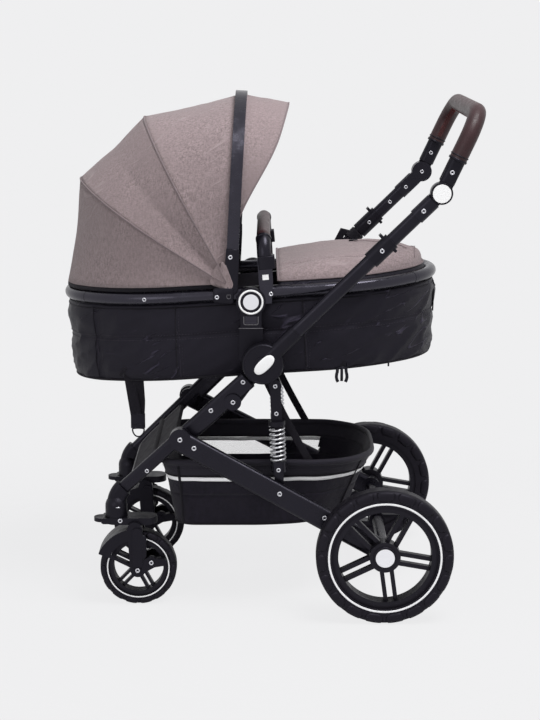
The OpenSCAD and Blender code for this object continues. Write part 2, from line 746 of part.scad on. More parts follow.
// Handle tube with the lower half of the grip's tilt joint on its end
joint_split = handle_half + gap;
joint_arm_w = 34;
joint_arm_len = 48;
tilt_pin_d = 10;
tilt_pin_len = 2.7;
link_trim = 4;
module handle_tube() {
    joint_r = tilt_joint_d / 2;
    joint_from = handle_len - joint_r - joint_arm_len;
    color(tube_black) {
        run(on_handle(arm_len), on_handle(joint_from)) oval(handle_tube_t, handle_tube_w);
        run(on_handle(joint_from), on_handle(handle_len - joint_r - gap)) oval(arm_t, joint_arm_w);
        pin(tilt_joint, handle_half - arm_t / 2, joint_split - gap, tilt_joint_d);
        plate(handle_half - arm_t / 2, joint_split - gap)
            slot2d(tilt_joint, hinge + (handle_len - tilt_joint_d) * handle_dir, joint_arm_w - link_trim);
        pin(tilt_joint, joint_split - gap, joint_split + tilt_pin_len, tilt_pin_d);
    }
}

// Fold slider: a sleeve on the handle tube with a finger fin above it and a lower one below
slider_wall = 4;
slider_along = handle_len - slider_back;
fin_t = 6;
fin_h = 8;
low_fin_h = 4;
module fold_slider() {
    from = on_handle(slider_along - slider_len / 2);
    to = on_handle(slider_along + slider_len / 2);
    color(black) aim(from, to) difference() {
        union() {
            rotate([90, 0, 90]) linear_extrude(slider_len)
                oval(handle_tube_t + 2 * slider_wall, handle_tube_w + 2 * slider_wall);
            for (fin = [[0, fin_h], [1, low_fin_h]]) mirror([0, 0, fin[0]])
                translate([slider_len - 2 * fin_t, -handle_tube_t / 2, 0])
                    cube([fin_t, handle_tube_t, handle_tube_w / 2 + slider_wall + fin[1]]);
        }
        translate([-over, 0, 0]) rotate([90, 0, 90]) linear_extrude(slider_len + 2 * over)
            oval(handle_tube_t + 2 * fit, handle_tube_w + 2 * fit);
    }
}

// Grip bracket: upper half of the tilt joint and the socket of the wrapped grip
button_d = 38;
button_t = 6;
button_travel = 3;
link_step = 2;
joint_face = handle_half + arm_t / 2;
button_floor = joint_face - button_travel - button_t + gap;
function on_grip(along) = at_y(tilt_joint + along * grip_dir, handle_half);
module grip_bracket() {
    joint_r = tilt_joint_d / 2;
    color(black) difference() {
        union() {
            pin(tilt_joint, joint_split, joint_face, tilt_joint_d);
            plate(joint_split, joint_face - link_step)
                slot2d(tilt_joint, tilt_joint + tilt_joint_d * grip_dir, joint_arm_w - link_trim);
            run(on_grip(joint_r + 2 * gap), on_grip(grip_from)) oval(arm_t, joint_arm_w);
        }
        pin(tilt_joint, joint_split - over, joint_split + tilt_pin_len + gap, tilt_pin_d + 2 * fit);
        pin(tilt_joint, button_floor, joint_face + over, button_d + 2 * gap);
    }
}
module joint_button() {
    color(white) pin(tilt_joint, joint_face - button_t + button_travel, joint_face + button_travel, button_d);
}

// Wrapped grip: a U of round section, corners bent to one radius
module handle_grip() {
    color(leather) translate(at_y(tilt_joint, 0)) rotate([0, -grip_angle, 0]) {
        for (s = [-1, 1]) side(s) {
            translate([grip_from, handle_half, 0]) rotate([0, 90, 0])
                cylinder(d = grip_d, h = grip_len - grip_corner_r - grip_from);
            translate([grip_len - grip_corner_r, handle_half - grip_corner_r, 0])
                rotate_extrude(angle = 90) translate([grip_corner_r, 0]) circle(d = grip_d);
        }
        translate([grip_len, 0, 0]) rotate([90, 0, 0])
            cylinder(d = grip_d, h = 2 * (handle_half - grip_corner_r), center = true);
    }
}

// Carrycot frame: X along the rail, Z square to it
cot_at = [hinge_x - cot_ahead, 0, hinge_z + cot_rise];
module cot_place() {
    translate(cot_at) rotate([0, -cot_tilt, 0]) children();
}
sleeve_d = 29;
sleeve_from = -62;
sleeve_to = 86;
hood_block_in = 10;
hood_lift = 2;
ferrule_step = 1;
ferrule_len = 10;
hood_pivot_z = rail_d / 2 + hood_lift;
hood_pivot_half = 14;
hood_block_out = 10;
hood_pin_d = 8;
bow_in = 203.5;
clip_in = 193;
clip_out = 215;
clip_w = 30;
clip_foot_w = 19;
clip_low = 20;
clip_high = 78;
bumper_x = cot_ahead + bumper_back;
tongue2_w = 20;
tongue2_t = 11;
tongue2_len = 24;
tongue2_mid = (clip_in + clip_out) / 2;
push_w = 13;
push_h = 11;
push_t = 5;
push_travel = 2.5;
push_z = 36;
hub_from_cot = hub - [cot_at[0], cot_at[2]];
hub_in_cot = [hub_from_cot[0] * cos(cot_tilt) + hub_from_cot[1] * sin(cot_tilt),
    hub_from_cot[1] * cos(cot_tilt) - hub_from_cot[0] * sin(cot_tilt)];
module rail_arc(r, d, from, to) {
    rotate([0, 0, from]) rotate_extrude(angle = to - from) translate([r, 0]) circle(d = d);
}
// A short ring over the joint between two lengths of the rail
module ferrule(p, angle) {
    translate([p[0], p[1], 0]) rotate([0, 0, angle]) rotate([90, 0, 0])
        cylinder(d = rail_d + ferrule_step, h = ferrule_len, center = true);
}
half_turn = 180;
module cot_rail() {
    big = side_r(rail_half_w, rail_end, rail_tip_r);
    turn = split(rail_half_w, rail_end, rail_tip_r);
    color(tube_black) cot_place() {
        for (s = [-1, 1]) side(s) translate([0, rail_half_w, 0]) rotate([0, 90, 0])
            cylinder(d = rail_d, h = 2 * rail_straight, center = true);
        for (half = [0, half_turn]) rotate([0, 0, half]) {
            translate([rail_straight + rail_end - rail_tip_r, 0, 0]) rail_arc(rail_tip_r, rail_d, -turn, turn);
            for (s = [-1, 1]) side(s) {
                translate([rail_straight, rail_half_w - big, 0]) rail_arc(big, rail_d, turn, 90);
                ferrule([rail_straight, rail_half_w], 90);
                ferrule(polar([rail_straight, rail_half_w - big], turn, big), turn);
            }
        }
        for (s = [-1, 1]) side(s) {
            translate([sleeve_from, rail_half_w, 0]) rotate([0, 90, 0])
                cylinder(d = sleeve_d, h = sleeve_to - sleeve_from);
            translate([-hood_ahead - hood_pivot_half, rail_half_w - hood_block_in, rail_d / 4])
                cube([2 * hood_pivot_half, hood_block_in + hood_block_out,
                    hood_pivot_z + hood_pivot_half - rail_d / 4]);
            pin([-hood_ahead, hood_pivot_z], rail_half_w, bow_in + bow_t, hood_pin_d);
            difference() {
                plate(clip_in, clip_out) translate([bumper_x, 0]) polygon([
                    [-clip_foot_w / 2, -clip_low], [clip_foot_w / 2, -clip_low],
                    [clip_w / 2, push_z - push_h], [clip_w / 2, clip_high],
                    [-clip_w / 2, clip_high], [-clip_w / 2, push_z - push_h]]);
                pin(hub_in_cot, clip_in - over, clip_out + over, hub_d + 2 * gap);
                translate([bumper_x, tongue2_mid, clip_high - tongue2_len - gap])
                    linear_extrude(tongue2_len + gap + over)
                        square([tongue2_w + 2 * gap, tongue2_t + 2 * gap], center = true);
                translate([bumper_x - push_w / 2 - gap, clip_out - push_t - push_travel,
                    push_z - push_h / 2 - gap])
                    cube([push_w + 2 * gap, push_t + push_travel + over, push_h + 2 * gap]);
            }
        }
    }
}
module bumper_button() {
    color(white) cot_place() translate([bumper_x - push_w / 2, clip_out - push_t + gap, push_z - push_h / 2])
        cube([push_w, push_t, push_h]);
}

// Bumper bar: two tongues in the clips, a bent tube and its wrapped cross bar
bumper_tube_d = 20;
bumper_corner_r = 36;
bumper_z = bumper_rise - cot_rise;
module bumper_bar() {
    color(leather) cot_place() translate([bumper_x, 0, 0]) {
        for (s = [-1, 1]) side(s) {
            translate([-tongue2_w / 2, tongue2_mid - tongue2_t / 2, clip_high - tongue2_len])
                cube([tongue2_w, tongue2_t, tongue2_len + gap + over]);
            translate([0, tongue2_mid, clip_high + gap])
                cylinder(d = bumper_tube_d, h = bumper_z - bumper_corner_r - clip_high - gap);
            translate([0, tongue2_mid - bumper_corner_r, bumper_z - bumper_corner_r]) rotate([90, 0, 90])
                rotate_extrude(angle = 90) translate([bumper_corner_r, 0]) circle(d = bumper_d);
        }
        translate([0, 0, bumper_z]) rotate([90, 0, 0])
            cylinder(d = bumper_d, h = 2 * (tongue2_mid - bumper_corner_r), center = true);
    }
}

// Carrycot mount: a round hub beside the rail, a neck with its release lever and a tongue for the post
hub_in = 203.6;
hub_out = 217;
neck_w = 44;
neck_in = 190;
neck_drop = 5;
neck_top = hub[1] - neck_drop;
hub_button_d = 33;
hub_button_t = 5;
hub_button_travel = 3;
lever_w = 25;
lever_h = 16;
lever_t = 5;
lever_travel = 6;
lever_lip = 1.2;
lever_low = post_top + 10;
module cot_adapter() {
    color(black) difference() {
        union() {
            pin(hub, hub_in, hub_out, hub_d);
            plate(neck_in, hub_out) translate([hub[0] - neck_w / 2, post_top + gap])
                square([neck_w, neck_top - post_top - gap]);
            translate([hub[0] - tongue_w / 2, tongue_mid - tongue_t / 2, post_top - tongue_len + gap])
                cube([tongue_w, tongue_t, tongue_len]);
        }
        pin(hub, hub_out - hub_button_t - hub_button_travel, hub_out + over, hub_button_d + 2 * gap);
        translate([hub[0] - lever_w / 2 - gap, hub_out - lever_t, lever_low - gap])
            cube([lever_w + 2 * gap, lever_t + over, lever_h + lever_travel + 2 * gap]);
    }
}
module hub_button() {
    color(silver) pin(hub, hub_out - hub_button_t + gap, hub_out + gap, hub_button_d);
}
module release_lever() {
    color(satin_black) translate([hub[0] - lever_w / 2, hub_out - lever_t + gap, lever_low]) {
        cube([lever_w, lever_t - gap, lever_h]);
        cube([lever_w, lever_t + lever_lip, lever_h / 3]);
    }
}

// Carrycot body: padded walls drawn in towards the floor, deeper at the head, open at the top
cot_top = -sleeve_d / 2 - gap;
cot_steps = 6;
cot_end_out = 8;
head_draw = 5;
foot_draw = 17;
side_draw = 12;
head_sag = 6;
cot_floor = 10;
cot_floor_round = 12;
cot_inset = 3;
cot_side_bend = 3;
cot_wall_depth = cot_depth - sleeve_d / 2;
function cot_ring(inset, share, lift) = let (k = pow(share, cot_side_bend))
    [for (p = loop_pts(rail_half_w - cot_inset - inset - side_draw * k, rail_straight - rail_d,
            rail_end + rail_d - cot_inset + cot_end_out - inset - foot_draw * share,
            rail_end + rail_d - cot_inset + cot_end_out - inset - head_draw * share,
            rail_tip_r - inset - side_draw * k, cot_steps))
        [p[0], p[1], lift + cot_top
            - (cot_wall_depth + head_sag * max(0, -p[0]) / (rail_straight + rail_end)) * share]];
cot_out_shares = [0.95, 0.82, 0.55, 0.28, 0];
cot_in_shares = [0, 0.28, 0.55, 0.82];
module cot_body() {
    color(cloth_black) cot_place() skin(concat(
        [cot_ring(cot_floor_round, 1, 0)],
        [for (k = cot_out_shares) cot_ring(0, k, 0)],
        [for (k = cot_in_shares) cot_ring(cot_wall, k, 0)],
        [cot_ring(cot_wall + cot_floor_round, 1, cot_floor)]));
}
// Mattress: a crowned pad with drawn-in edges on the carrycot's floor
mattress_inset = 21;
mattress_edge = 14;
mattress_edge_shares = [1, 0.15, 0, 0.15, 1.1, 4];
mattress_rise_shares = [0, 0.25, 0.5, 0.75, 1, 1.12];
module mattress() {
    color(white) cot_place() skin([for (i = [0:len(mattress_edge_shares) - 1])
        cot_ring(mattress_inset + mattress_edge * mattress_edge_shares[i], 1,
            cot_floor + gap + mattress_t * mattress_rise_shares[i])]);
}

// Apron: a soft cover that swells over the foot end of the carrycot
apron_from = 62;
apron_edge = -6;
apron_crown = 62;
apron_t = 4;
apron_rows = 12;
apron_cols = 12;
apron_inset = 10;
apron_lip_share = 0.68;
apron_swell_share = 3;
apron_end_bend = 2.5;
apron_side_bend = 3.2;
apron_round = 0.62;
apron_last_share = 0.985;
function apron_half(x) = let (
        w = rail_half_w - apron_inset,
        e = rail_end - apron_inset,
        r = rail_tip_r - apron_inset,
        big = side_r(w, e, r),
        cut = rail_straight + big * cos(split(w, e, r)))
    x < rail_straight ? w
    : x < cut ? w - big + sqrt(big * big - pow(x - rail_straight, 2))
    : sqrt(max(0, r * r - pow(x - rail_straight - e + r, 2)));
apron_len = rail_straight + rail_end - apron_inset - apron_t - apron_from;
function apron_x(u) = apron_from + apron_len * sin(90 * u);
function apron_z(u, v) = apron_edge
    + apron_crown * lerp(apron_lip_share, 1, sin(90 * min(1, apron_swell_share * u)))
    * pow(max(0, 1 - pow(u, apron_end_bend)), apron_round)
    * pow(max(0, 1 - pow(abs(v), apron_side_bend)), apron_round);
function apron_row(u, lift) = let (x = apron_x(u))
    [for (j = [0:apron_cols]) let (v = sin(90 * (2 * j / apron_cols - 1)))
        [x, v * (apron_half(x) - apron_t * (1 - lift)), rail_d / 2 + gap + apron_z(u, v) + apron_t * lift]];
function apron_ring(u) = let (top = apron_row(u, 1), low = apron_row(u, 0))
    concat(top, [for (j = [apron_cols:-1:0]) low[j]]);
module apron() {
    color(taupe) cot_place()
        strip_skin([for (i = [apron_rows:-1:0]) apron_ring(i / apron_rows * apron_last_share)]);
}

// Hood: bow and ribs are arches that turn about one axis, with the cloth stretched over them
visor_angle = 68.4;
bow_angle = 83.6;
mid_angle = 115.6;
rear_angle = 144;
base_angle = 180;
hood_straight = 160;
hood_tip_r = 150;
bow_half = bow_in + bow_t;
rib_t = 5;
hood_from = 17;
rib_from = 60;
rib_gap = 2;
rear_rib_gap = 3;
visor_from = 185;
bow_from = 100;
hood_steps = 8;
module hood_place(angle) {
    cot_place() translate([-hood_ahead, 0, hood_pivot_z]) rotate([0, -angle, 0]) children();
}
module arch2d(half, reach, tip_r, from) {
    top = arch_pts(half, hood_straight, reach - hood_straight, tip_r, 4 * hood_steps);
    polygon(concat([[from, half]], top, [[from, -half]]));
}
module arch_solid(half, reach, t, wide, from) {
    translate([0, 0, -wide / 2]) linear_extrude(wide) difference() {
        arch2d(half, reach, hood_tip_r, from);
        arch2d(half - t, reach - t, hood_tip_r - t, from - over);
    }
}
bow_eye_d = 26;
module hood_bow() {
    color(satin_black) hood_place(bow_angle) difference() {
        union() {
            arch_solid(bow_half, hood_r, bow_t, bow_w, 0);
            for (s = [-1, 1]) side(s) pin([0, 0], bow_in, bow_half, bow_eye_d);
        }
        for (s = [-1, 1]) side(s) pin([0, 0], bow_in - over, bow_half + over, hood_pin_d + 2 * fit);
    }
}
cloth_half = bow_in - 4 * gap;
cloth_r = hood_r - bow_t - 4 * gap;
module hood_rib(angle, room) {
    inset = hood_cloth_t + room;
    color(black) hood_place(angle) arch_solid(cloth_half - inset, cloth_r - inset, rib_t, rib_t, rib_from);
}
// The cloth runs straight from rib to rib; its section narrows below the rear rib to the rail's head end
function chord(angle, a0, r0, a1, r1) = r0 * r1 * sin(a1 - a0) / (r0 * sin(angle - a0) + r1 * sin(a1 - angle));
base_r = rail_straight - hood_ahead + rail_end + rail_d / 4;
function cloth_reach(angle) = angle <= bow_angle ? cloth_r
    : angle <= mid_angle ? chord(angle, bow_angle, cloth_r, mid_angle, cloth_r)
    : angle <= rear_angle ? chord(angle, mid_angle, cloth_r, rear_angle, cloth_r)
    : chord(angle, rear_angle, cloth_r, base_angle, base_r);
function cloth_from(angle) = angle < bow_angle
    ? lerp(bow_from, visor_from, (bow_angle - angle) / (bow_angle - visor_angle)) : hood_from;
function hood_arch(angle, inset) = let (t = max(0, (angle - rear_angle) / (base_angle - rear_angle)),
        half = lerp(cloth_half, rail_half_w + rail_d / 4, t) - inset,
        straight = lerp(hood_straight, rail_straight - hood_ahead, t),
        reach = cloth_reach(angle) - inset,
        start = max(straight, cloth_from(angle) + inset),
        q = arch_pts(half, start, reach - start, hood_tip_r - inset, hood_steps))
    [for (p = concat([[cloth_from(angle), half]], q, [[cloth_from(angle), -half]]))
        [p[0] * cos(angle), p[1], p[0] * sin(angle)]];
function hood_ring(angle) = let (out = hood_arch(angle, 0), in = hood_arch(angle, hood_cloth_t))
    concat(out, [for (i = [len(in) - 1:-1:0]) in[i]]);
function spread(a0, a1, n) = [for (i = [0:n - 1]) lerp(a0, a1, i / n)];
hood_angles = concat(spread(visor_angle, bow_angle, 2), spread(bow_angle, mid_angle, 3),
    spread(mid_angle, rear_angle, 3), spread(rear_angle, base_angle, 4), [base_angle]);
module hood_fabric() {
    color(taupe) cot_place() translate([-hood_ahead, 0, hood_pivot_z])
        strip_skin([for (a = hood_angles) hood_ring(a)]);
}

// Shopping basket: a cloth tray hung below the hinge, with a padded rim and a rounded back
basket_front = (hinge + board_tube_along * leg_dir)[0] + board_tube_d / 2 + gap + basket_rim_out;
basket_behind = 242;
basket_low_before = 193;
basket_low_behind = 186;
basket_back = hinge_x + basket_behind;
basket_front_low = hinge_x - basket_low_before;
basket_back_low = hinge_x + basket_low_behind;
basket_draw = 12;
basket_front_r = 46;
basket_back_r = 130;
basket_floor_round = 8;
tray_steps = 5;
function corner(c, r, from) = [for (i = [0:tray_steps]) polar(c, from - 90 * i / tray_steps, r)];
function tray_pts(x0, x1, w, r0, r1) = concat(
    corner([x1 - r1, w - r1], r1, 90), corner([x1 - r1, r1 - w], r1, 0),
    corner([x0 + r0, r0 - w], r0, -90), corner([x0 + r0, w - r0], r0, 180));
function tray_ring(inset, x0, x1, w, z) = level(tray_pts(x0 + inset, x1 - inset, w - inset,
    basket_front_r - inset, basket_back_r - inset), z);
function basket_at(t, inset) = tray_ring(inset,
    lerp(basket_front_low, basket_front, t), lerp(basket_back_low, basket_back, t),
    lerp(basket_half_w - basket_draw, basket_half_w - basket_rim_out, t),
    lerp(basket_floor_z, basket_rim_z - basket_rim_h, t));
function rim_ring(inset, z) = tray_ring(inset,
    basket_front - basket_rim_out, basket_back + basket_rim_out, basket_half_w, z);
basket_out_shares = [0.06, 0.4, 0.75, 1];
basket_in_shares = [0.9, 0.5, 0.1];
module basket() {
    color(cloth_black) skin(concat(
        [basket_at(0, basket_floor_round)],
        [for (t = basket_out_shares) basket_at(t, 0)],
        [rim_ring(0, basket_rim_z - basket_rim_h / 2), rim_ring(basket_rim_out / 2, basket_rim_z)],
        [rim_ring(3 * basket_rim_out, basket_rim_z)],
        [for (t = basket_in_shares) basket_at(t, basket_wall)],
        [[for (p = basket_at(0, basket_wall + basket_floor_round))
            [p[0], p[1], basket_floor_z + basket_wall]]]));
}

side(-1) hinge_bracket();  // hinge_bracket_left
side(1) hinge_bracket();  // hinge_bracket_right
basket();
side(-1) front_leg();  // front_leg_left
side(1) front_leg();  // front_leg_right
side(-1) caster_housing();  // caster_housing_left
side(1) caster_housing();  // caster_housing_right
footboard();
side(-1) rear_leg();  // rear_leg_left
side(1) rear_leg();  // rear_leg_right
rear_axle();
brake_pedal();
side(-1) strut_tube();  // strut_tube_left
side(1) strut_tube();  // strut_tube_right
side(-1) strut_rod();  // strut_rod_left
side(1) strut_rod();  // strut_rod_right
side(-1) spring();  // spring_left
side(1) spring();  // spring_right
side(-1) rear_rim();  // rear_rim_left
side(1) rear_rim();  // rear_rim_right
side(-1) rear_tyre();  // rear_tyre_left
side(1) rear_tyre();  // rear_tyre_right
side(-1) rear_hub_cap();  // rear_hub_cap_left
side(1) rear_hub_cap();  // rear_hub_cap_right
side(-1) caster_fork();  // caster_fork_left
side(1) caster_fork();  // caster_fork_right
side(-1) front_rim();  // front_rim_left
side(1) front_rim();  // front_rim_right
side(-1) front_tyre();  // front_tyre_left
side(1) front_tyre();  // front_tyre_right
side(-1) caster_lock();  // caster_lock_left
side(1) caster_lock();  // caster_lock_right
side(-1) handle_arm();  // handle_arm_left
side(1) handle_arm();  // handle_arm_right
side(-1) handle_tube();  // handle_tube_left
side(1) handle_tube();  // handle_tube_right
side(-1) fold_slider();  // fold_slider_left
side(1) fold_slider();  // fold_slider_right
side(-1) grip_bracket();  // grip_bracket_left
side(1) grip_bracket();  // grip_bracket_right
side(-1) joint_button();  // joint_button_left
side(1) joint_button();  // joint_button_right
handle_grip();
cot_rail();
cot_body();
mattress();
side(-1) cot_adapter();  // cot_adapter_left
side(1) cot_adapter();  // cot_adapter_right
side(-1) hub_button();  // hub_button_left
side(1) hub_button();  // hub_button_right
side(-1) release_lever();  // release_lever_left
side(1) release_lever();  // release_lever_right
hood_bow();
hood_rib(mid_angle, rib_gap);  // hood_rib_mid
hood_rib(rear_angle, rear_rib_gap);  // hood_rib_rear
hood_fabric();
bumper_bar();
side(-1) bumper_button();  // bumper_button_left
side(1) bumper_button();  // bumper_button_right
apron();
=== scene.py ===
"""Bassinet pram: cloth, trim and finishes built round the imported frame."""
import json
import math

import bmesh
import bpy
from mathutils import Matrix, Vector, noise
from mathutils.bvhtree import BVHTree

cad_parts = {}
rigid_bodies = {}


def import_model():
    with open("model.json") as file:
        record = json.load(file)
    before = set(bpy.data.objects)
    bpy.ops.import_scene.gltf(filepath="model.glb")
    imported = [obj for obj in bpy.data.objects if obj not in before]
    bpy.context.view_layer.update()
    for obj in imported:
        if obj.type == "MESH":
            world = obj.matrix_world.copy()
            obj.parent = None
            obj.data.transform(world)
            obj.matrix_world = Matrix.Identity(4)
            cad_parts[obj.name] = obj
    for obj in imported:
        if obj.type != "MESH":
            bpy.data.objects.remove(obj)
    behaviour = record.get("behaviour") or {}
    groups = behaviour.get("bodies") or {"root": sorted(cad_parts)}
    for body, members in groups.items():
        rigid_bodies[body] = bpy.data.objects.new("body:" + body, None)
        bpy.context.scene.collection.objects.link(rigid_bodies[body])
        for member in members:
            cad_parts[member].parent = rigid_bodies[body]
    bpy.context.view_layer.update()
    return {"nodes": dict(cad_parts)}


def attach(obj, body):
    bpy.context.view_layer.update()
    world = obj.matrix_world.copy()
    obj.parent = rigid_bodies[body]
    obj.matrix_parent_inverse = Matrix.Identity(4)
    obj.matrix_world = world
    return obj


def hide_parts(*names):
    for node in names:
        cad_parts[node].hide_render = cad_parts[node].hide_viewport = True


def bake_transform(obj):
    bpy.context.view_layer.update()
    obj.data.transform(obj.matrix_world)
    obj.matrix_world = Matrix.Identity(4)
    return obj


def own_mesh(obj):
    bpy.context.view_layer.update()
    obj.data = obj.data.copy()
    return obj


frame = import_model()
NODES = frame["nodes"]
scene = bpy.context.scene
MM = 0.001
SIDES = ((-1, "left"), (1, "right"))


# Small sums
def lerp(a, b, t):
    return a + (b - a) * t


def cosd(a):
    return math.cos(math.radians(a))


def sind(a):
    return math.sin(math.radians(a))


def smooth(t):
    t = min(1.0, max(0.0, t))
    return t * t * (3 - 2 * t)


def ripple(p, scale, seed=0.0):
    """Smooth noise of about -1 to 1 at a point in mm."""
    return noise.noise(Vector((p[0] / scale + seed, p[1] / scale, p[2] / scale)))


def resample(points, count, closed=False):
    """The same line with evenly spaced points."""
    pts = [Vector(p) for p in points]
    if closed:
        pts.append(pts[0])
    run = [0.0]
    for a, b in zip(pts, pts[1:]):
        run.append(run[-1] + (b - a).length)
    steps = count if closed else count - 1
    out, k = [], 0
    for i in range(count):
        at = run[-1] * i / steps
        while k < len(pts) - 2 and run[k + 1] < at:
            k += 1
        length = run[k + 1] - run[k]
        out.append(pts[k].lerp(pts[k + 1], (at - run[k]) / length if length else 0.0))
    return out


# Materials
def lin(rgb, factor=1.0):
    """A colour of 0 to 255 as linear light."""
    out = []
    for c in rgb:
        c /= 255
        out.append((c / 12.92 if c <= 0.04045 else ((c + 0.055) / 1.055) ** 2.4) * factor)
    return (*out, 1.0)


class Finish:
    """A Principled material whose colour, roughness and relief come from nodes in object space."""

    def __init__(self, name, rough, metallic=0.0, **sockets):
        self.mat = bpy.data.materials.new(name)
        self.mat.use_nodes = True
        self.tree = self.mat.node_tree
        self.shader = self.tree.nodes["Principled BSDF"]
        self.coord = self.add("ShaderNodeTexCoord").outputs["Object"]
        self.rough = rough
        self.shader.inputs["Metallic"].default_value = metallic
        for key, value in sockets.items():
            self.shader.inputs[key.replace("_", " ").title().replace("Ior", "IOR")].default_value = value

    def add(self, kind, values=(), **props):
        node = self.tree.nodes.new(kind)
        for key, value in props.items():
            setattr(node, key, value)
        for key, value in values:
            node.inputs[key].default_value = value
        return node

    def link(self, a, b):
        self.tree.links.new(a, b)

    def mapped(self, source, key, value):
        node = self.add("ShaderNodeMapping", [(key, value)])
        self.link(source, node.inputs["Vector"])
        return node.outputs["Vector"]

    def noise(self, scale, detail=3.0, stretch=None):
        node = self.add("ShaderNodeTexNoise", [("Scale", scale), ("Detail", detail), ("Roughness", 0.55)])
        source = self.mapped(self.coord, "Scale", stretch) if stretch else self.coord
        self.link(source, node.inputs["Vector"])
        return node.outputs["Fac"]

    def cells(self, scale, feature):
        node = self.add("ShaderNodeTexVoronoi", [("Scale", scale)], feature=feature)
        self.link(self.coord, node.inputs["Vector"])
        return node.outputs["Distance"]

    def bands(self, scale, turn):
        node = self.add("ShaderNodeTexWave", [("Scale", scale), ("Distortion", 0.6), ("Detail", 1.0)],
                        wave_type="BANDS", bands_direction="X")
        turned = self.mapped(self.coord, "Rotation", [math.radians(a) for a in turn])
        self.link(turned, node.inputs["Vector"])
        return node.outputs["Fac"]

    def sum(self, kind, a, b):
        node = self.add("ShaderNodeMath", operation=kind)
        for socket, value in zip(node.inputs, (a, b)):
            if isinstance(value, (int, float)):
                socket.default_value = value
            else:
                self.link(value, socket)
        return node.outputs[0]

    def weave(self, scale):
        """Two crossing sets of threads, seen on faces that look any way."""
        return self.sum("ADD", self.bands(scale, (0, 45, 20)), self.bands(scale, (0, -45, -20)))

    def ranged(self, value, low, high, to_low=0.0, to_high=1.0):
        node = self.add("ShaderNodeMapRange", [("From Min", low), ("From Max", high), ("To Min", to_low),
                                               ("To Max", to_high)])
        self.link(value, node.inputs["Value"])
        return node.outputs["Result"]

    def colours(self, by, low, high, dark, light):
        node = self.add("ShaderNodeMix", data_type="RGBA")
        self.link(self.ranged(by, low, high), node.inputs["Factor"])
        for socket, value in zip((node.inputs[6], node.inputs[7]), (dark, light)):
            if isinstance(value, tuple):
                socket.default_value = value
            else:
                self.link(value, socket)
        return node.outputs[2]

    def finish(self, colour, rough_by, relief=(), spread=0.08):
        self.link(colour, self.shader.inputs["Base Color"])
        self.link(self.ranged(rough_by, 0.3, 0.7, self.rough - spread, self.rough + spread),
                  self.shader.inputs["Roughness"])
        normal = None
        for height, strength, depth in relief:
            bump = self.add("ShaderNodeBump", [("Strength", strength), ("Distance", depth)])
            self.link(height, bump.inputs["Height"])
            if normal is not None:
                self.link(normal, bump.inputs["Normal"])
            normal = bump.outputs["Normal"]
        if normal is not None:
            self.link(normal, self.shader.inputs["Normal"])
        return self.mat


def moulded(name, rgb, rough, grain, strength, clouds=0.13, **sockets):
    """Moulded or coated: even colour with faint clouds, fine grain and a few rubbed patches."""
    f = Finish(name, rough, **sockets)
    cloud = f.noise(18, 4)
    fine = f.noise(grain, 2)
    colour = f.colours(cloud, 0.3, 0.7, lin(rgb, 1 - clouds), lin(rgb, 1 + clouds))
    waves = f.noise(grain / 9, 2)
    relief = [(fine, strength, 0.0004), (waves, min(0.05, strength), 0.001)]
    return f.finish(colour, f.noise(60, 4), relief)


def blacked(name, rgb, rough, grain, strength, gloss):
    """A black finish with a cool sheen."""
    return moulded(name, rgb, rough, grain, strength, specular_ior_level=gloss, specular_tint=COOL)


def creases(f, scale, turn):
    """Thin sharp ridges in patches, as slack cloth has; 0 on flat cloth and 1 on a ridge."""
    turned = f.mapped(f.coord, "Rotation", (0, math.radians(turn), 0))
    values = [("Scale", scale), ("Detail", 1.0), ("Roughness", 0.5), ("Offset", 1.0), ("Gain", 1.0),
              ("Distortion", 0.35)]
    ridged = f.add("ShaderNodeTexNoise", values, noise_type="RIDGED_MULTIFRACTAL")
    f.link(f.mapped(turned, "Scale", (0.38, 0.6, 1.5)), ridged.inputs["Vector"])
    line = f.ranged(ridged.outputs["Fac"], 1.22, 1.44)
    return f.sum("MULTIPLY", line, f.ranged(f.noise(7, 1), 0.42, 0.56))


def cloth(name, rgb, threads, melange=0.12, rough=0.88, strength=0.35, sheen=0.25, alpha=None,
          gloss=0.25, slack=None):
    """Woven cloth: crossing threads, flecked yarn, soft clouds of darker tone and, where slack, creases
    with a painted highlight along their ridges.
    """
    f = Finish(name, rough, sheen_weight=sheen, sheen_roughness=0.5, specular_ior_level=gloss,
               specular_tint=COOL if sum(rgb) < 200 else (1.0, 1.0, 1.0, 1.0))
    weave = f.weave(threads)
    fleck = f.noise(threads * 1.6, 2, (1.0, 1.0, 0.25))
    fleck2 = f.noise(threads * 1.6, 2, (0.25, 0.6, 1.0))
    coarse = f.noise(threads * 0.62, 1, (1.0, 1.0, 0.4))
    yarn = f.sum("MULTIPLY", f.sum("ADD", f.sum("ADD", fleck, fleck2), coarse), 0.3333)
    flecked = f.colours(yarn, 0.38, 0.62, lin(rgb, 1 - melange), lin(rgb, 1 + melange))
    colour = f.colours(f.noise(9, 3), 0.25, 0.75, lin(rgb, 0.95), flecked)
    if alpha is not None:
        holes = f.ranged(f.weave(alpha[0]), alpha[1], alpha[1] + 0.12, 1.0, 0.0)
        f.link(holes, f.shader.inputs["Alpha"])
    relief = [(weave, strength, 0.0006), (f.noise(threads / 5, 3), 0.10, 0.0015)]
    if slack is not None:
        crease_relief_and_highlight = creases(f, slack[0], slack[1])
        # Along crease ridges the colour turns to the lighter slack colour, a painted highlight standing in
        # for sheen on the creases; the same mask also gives the ridges a bump.
        colour = f.colours(crease_relief_and_highlight, 0.0, 1.0, colour, slack[2])
        relief.append((crease_relief_and_highlight, slack[3], 0.004))
    return f.finish(colour, fleck, relief, 0.05)


def leather(name, rgb):
    """Grained leather with fine wrinkles."""
    f = Finish(name, 0.45, specular_ior_level=0.3)
    grain = f.cells(620, "SMOOTH_F1")
    wrinkles = f.cells(240, "DISTANCE_TO_EDGE")
    cloud = f.noise(26, 5)
    colour = f.colours(cloud, 0.3, 0.7, lin(rgb, 0.74), lin(rgb, 1.24))
    return f.finish(colour, f.noise(120, 4), [(grain, 0.4, 0.0006), (wrinkles, 0.22, 0.0006)], 0.1)


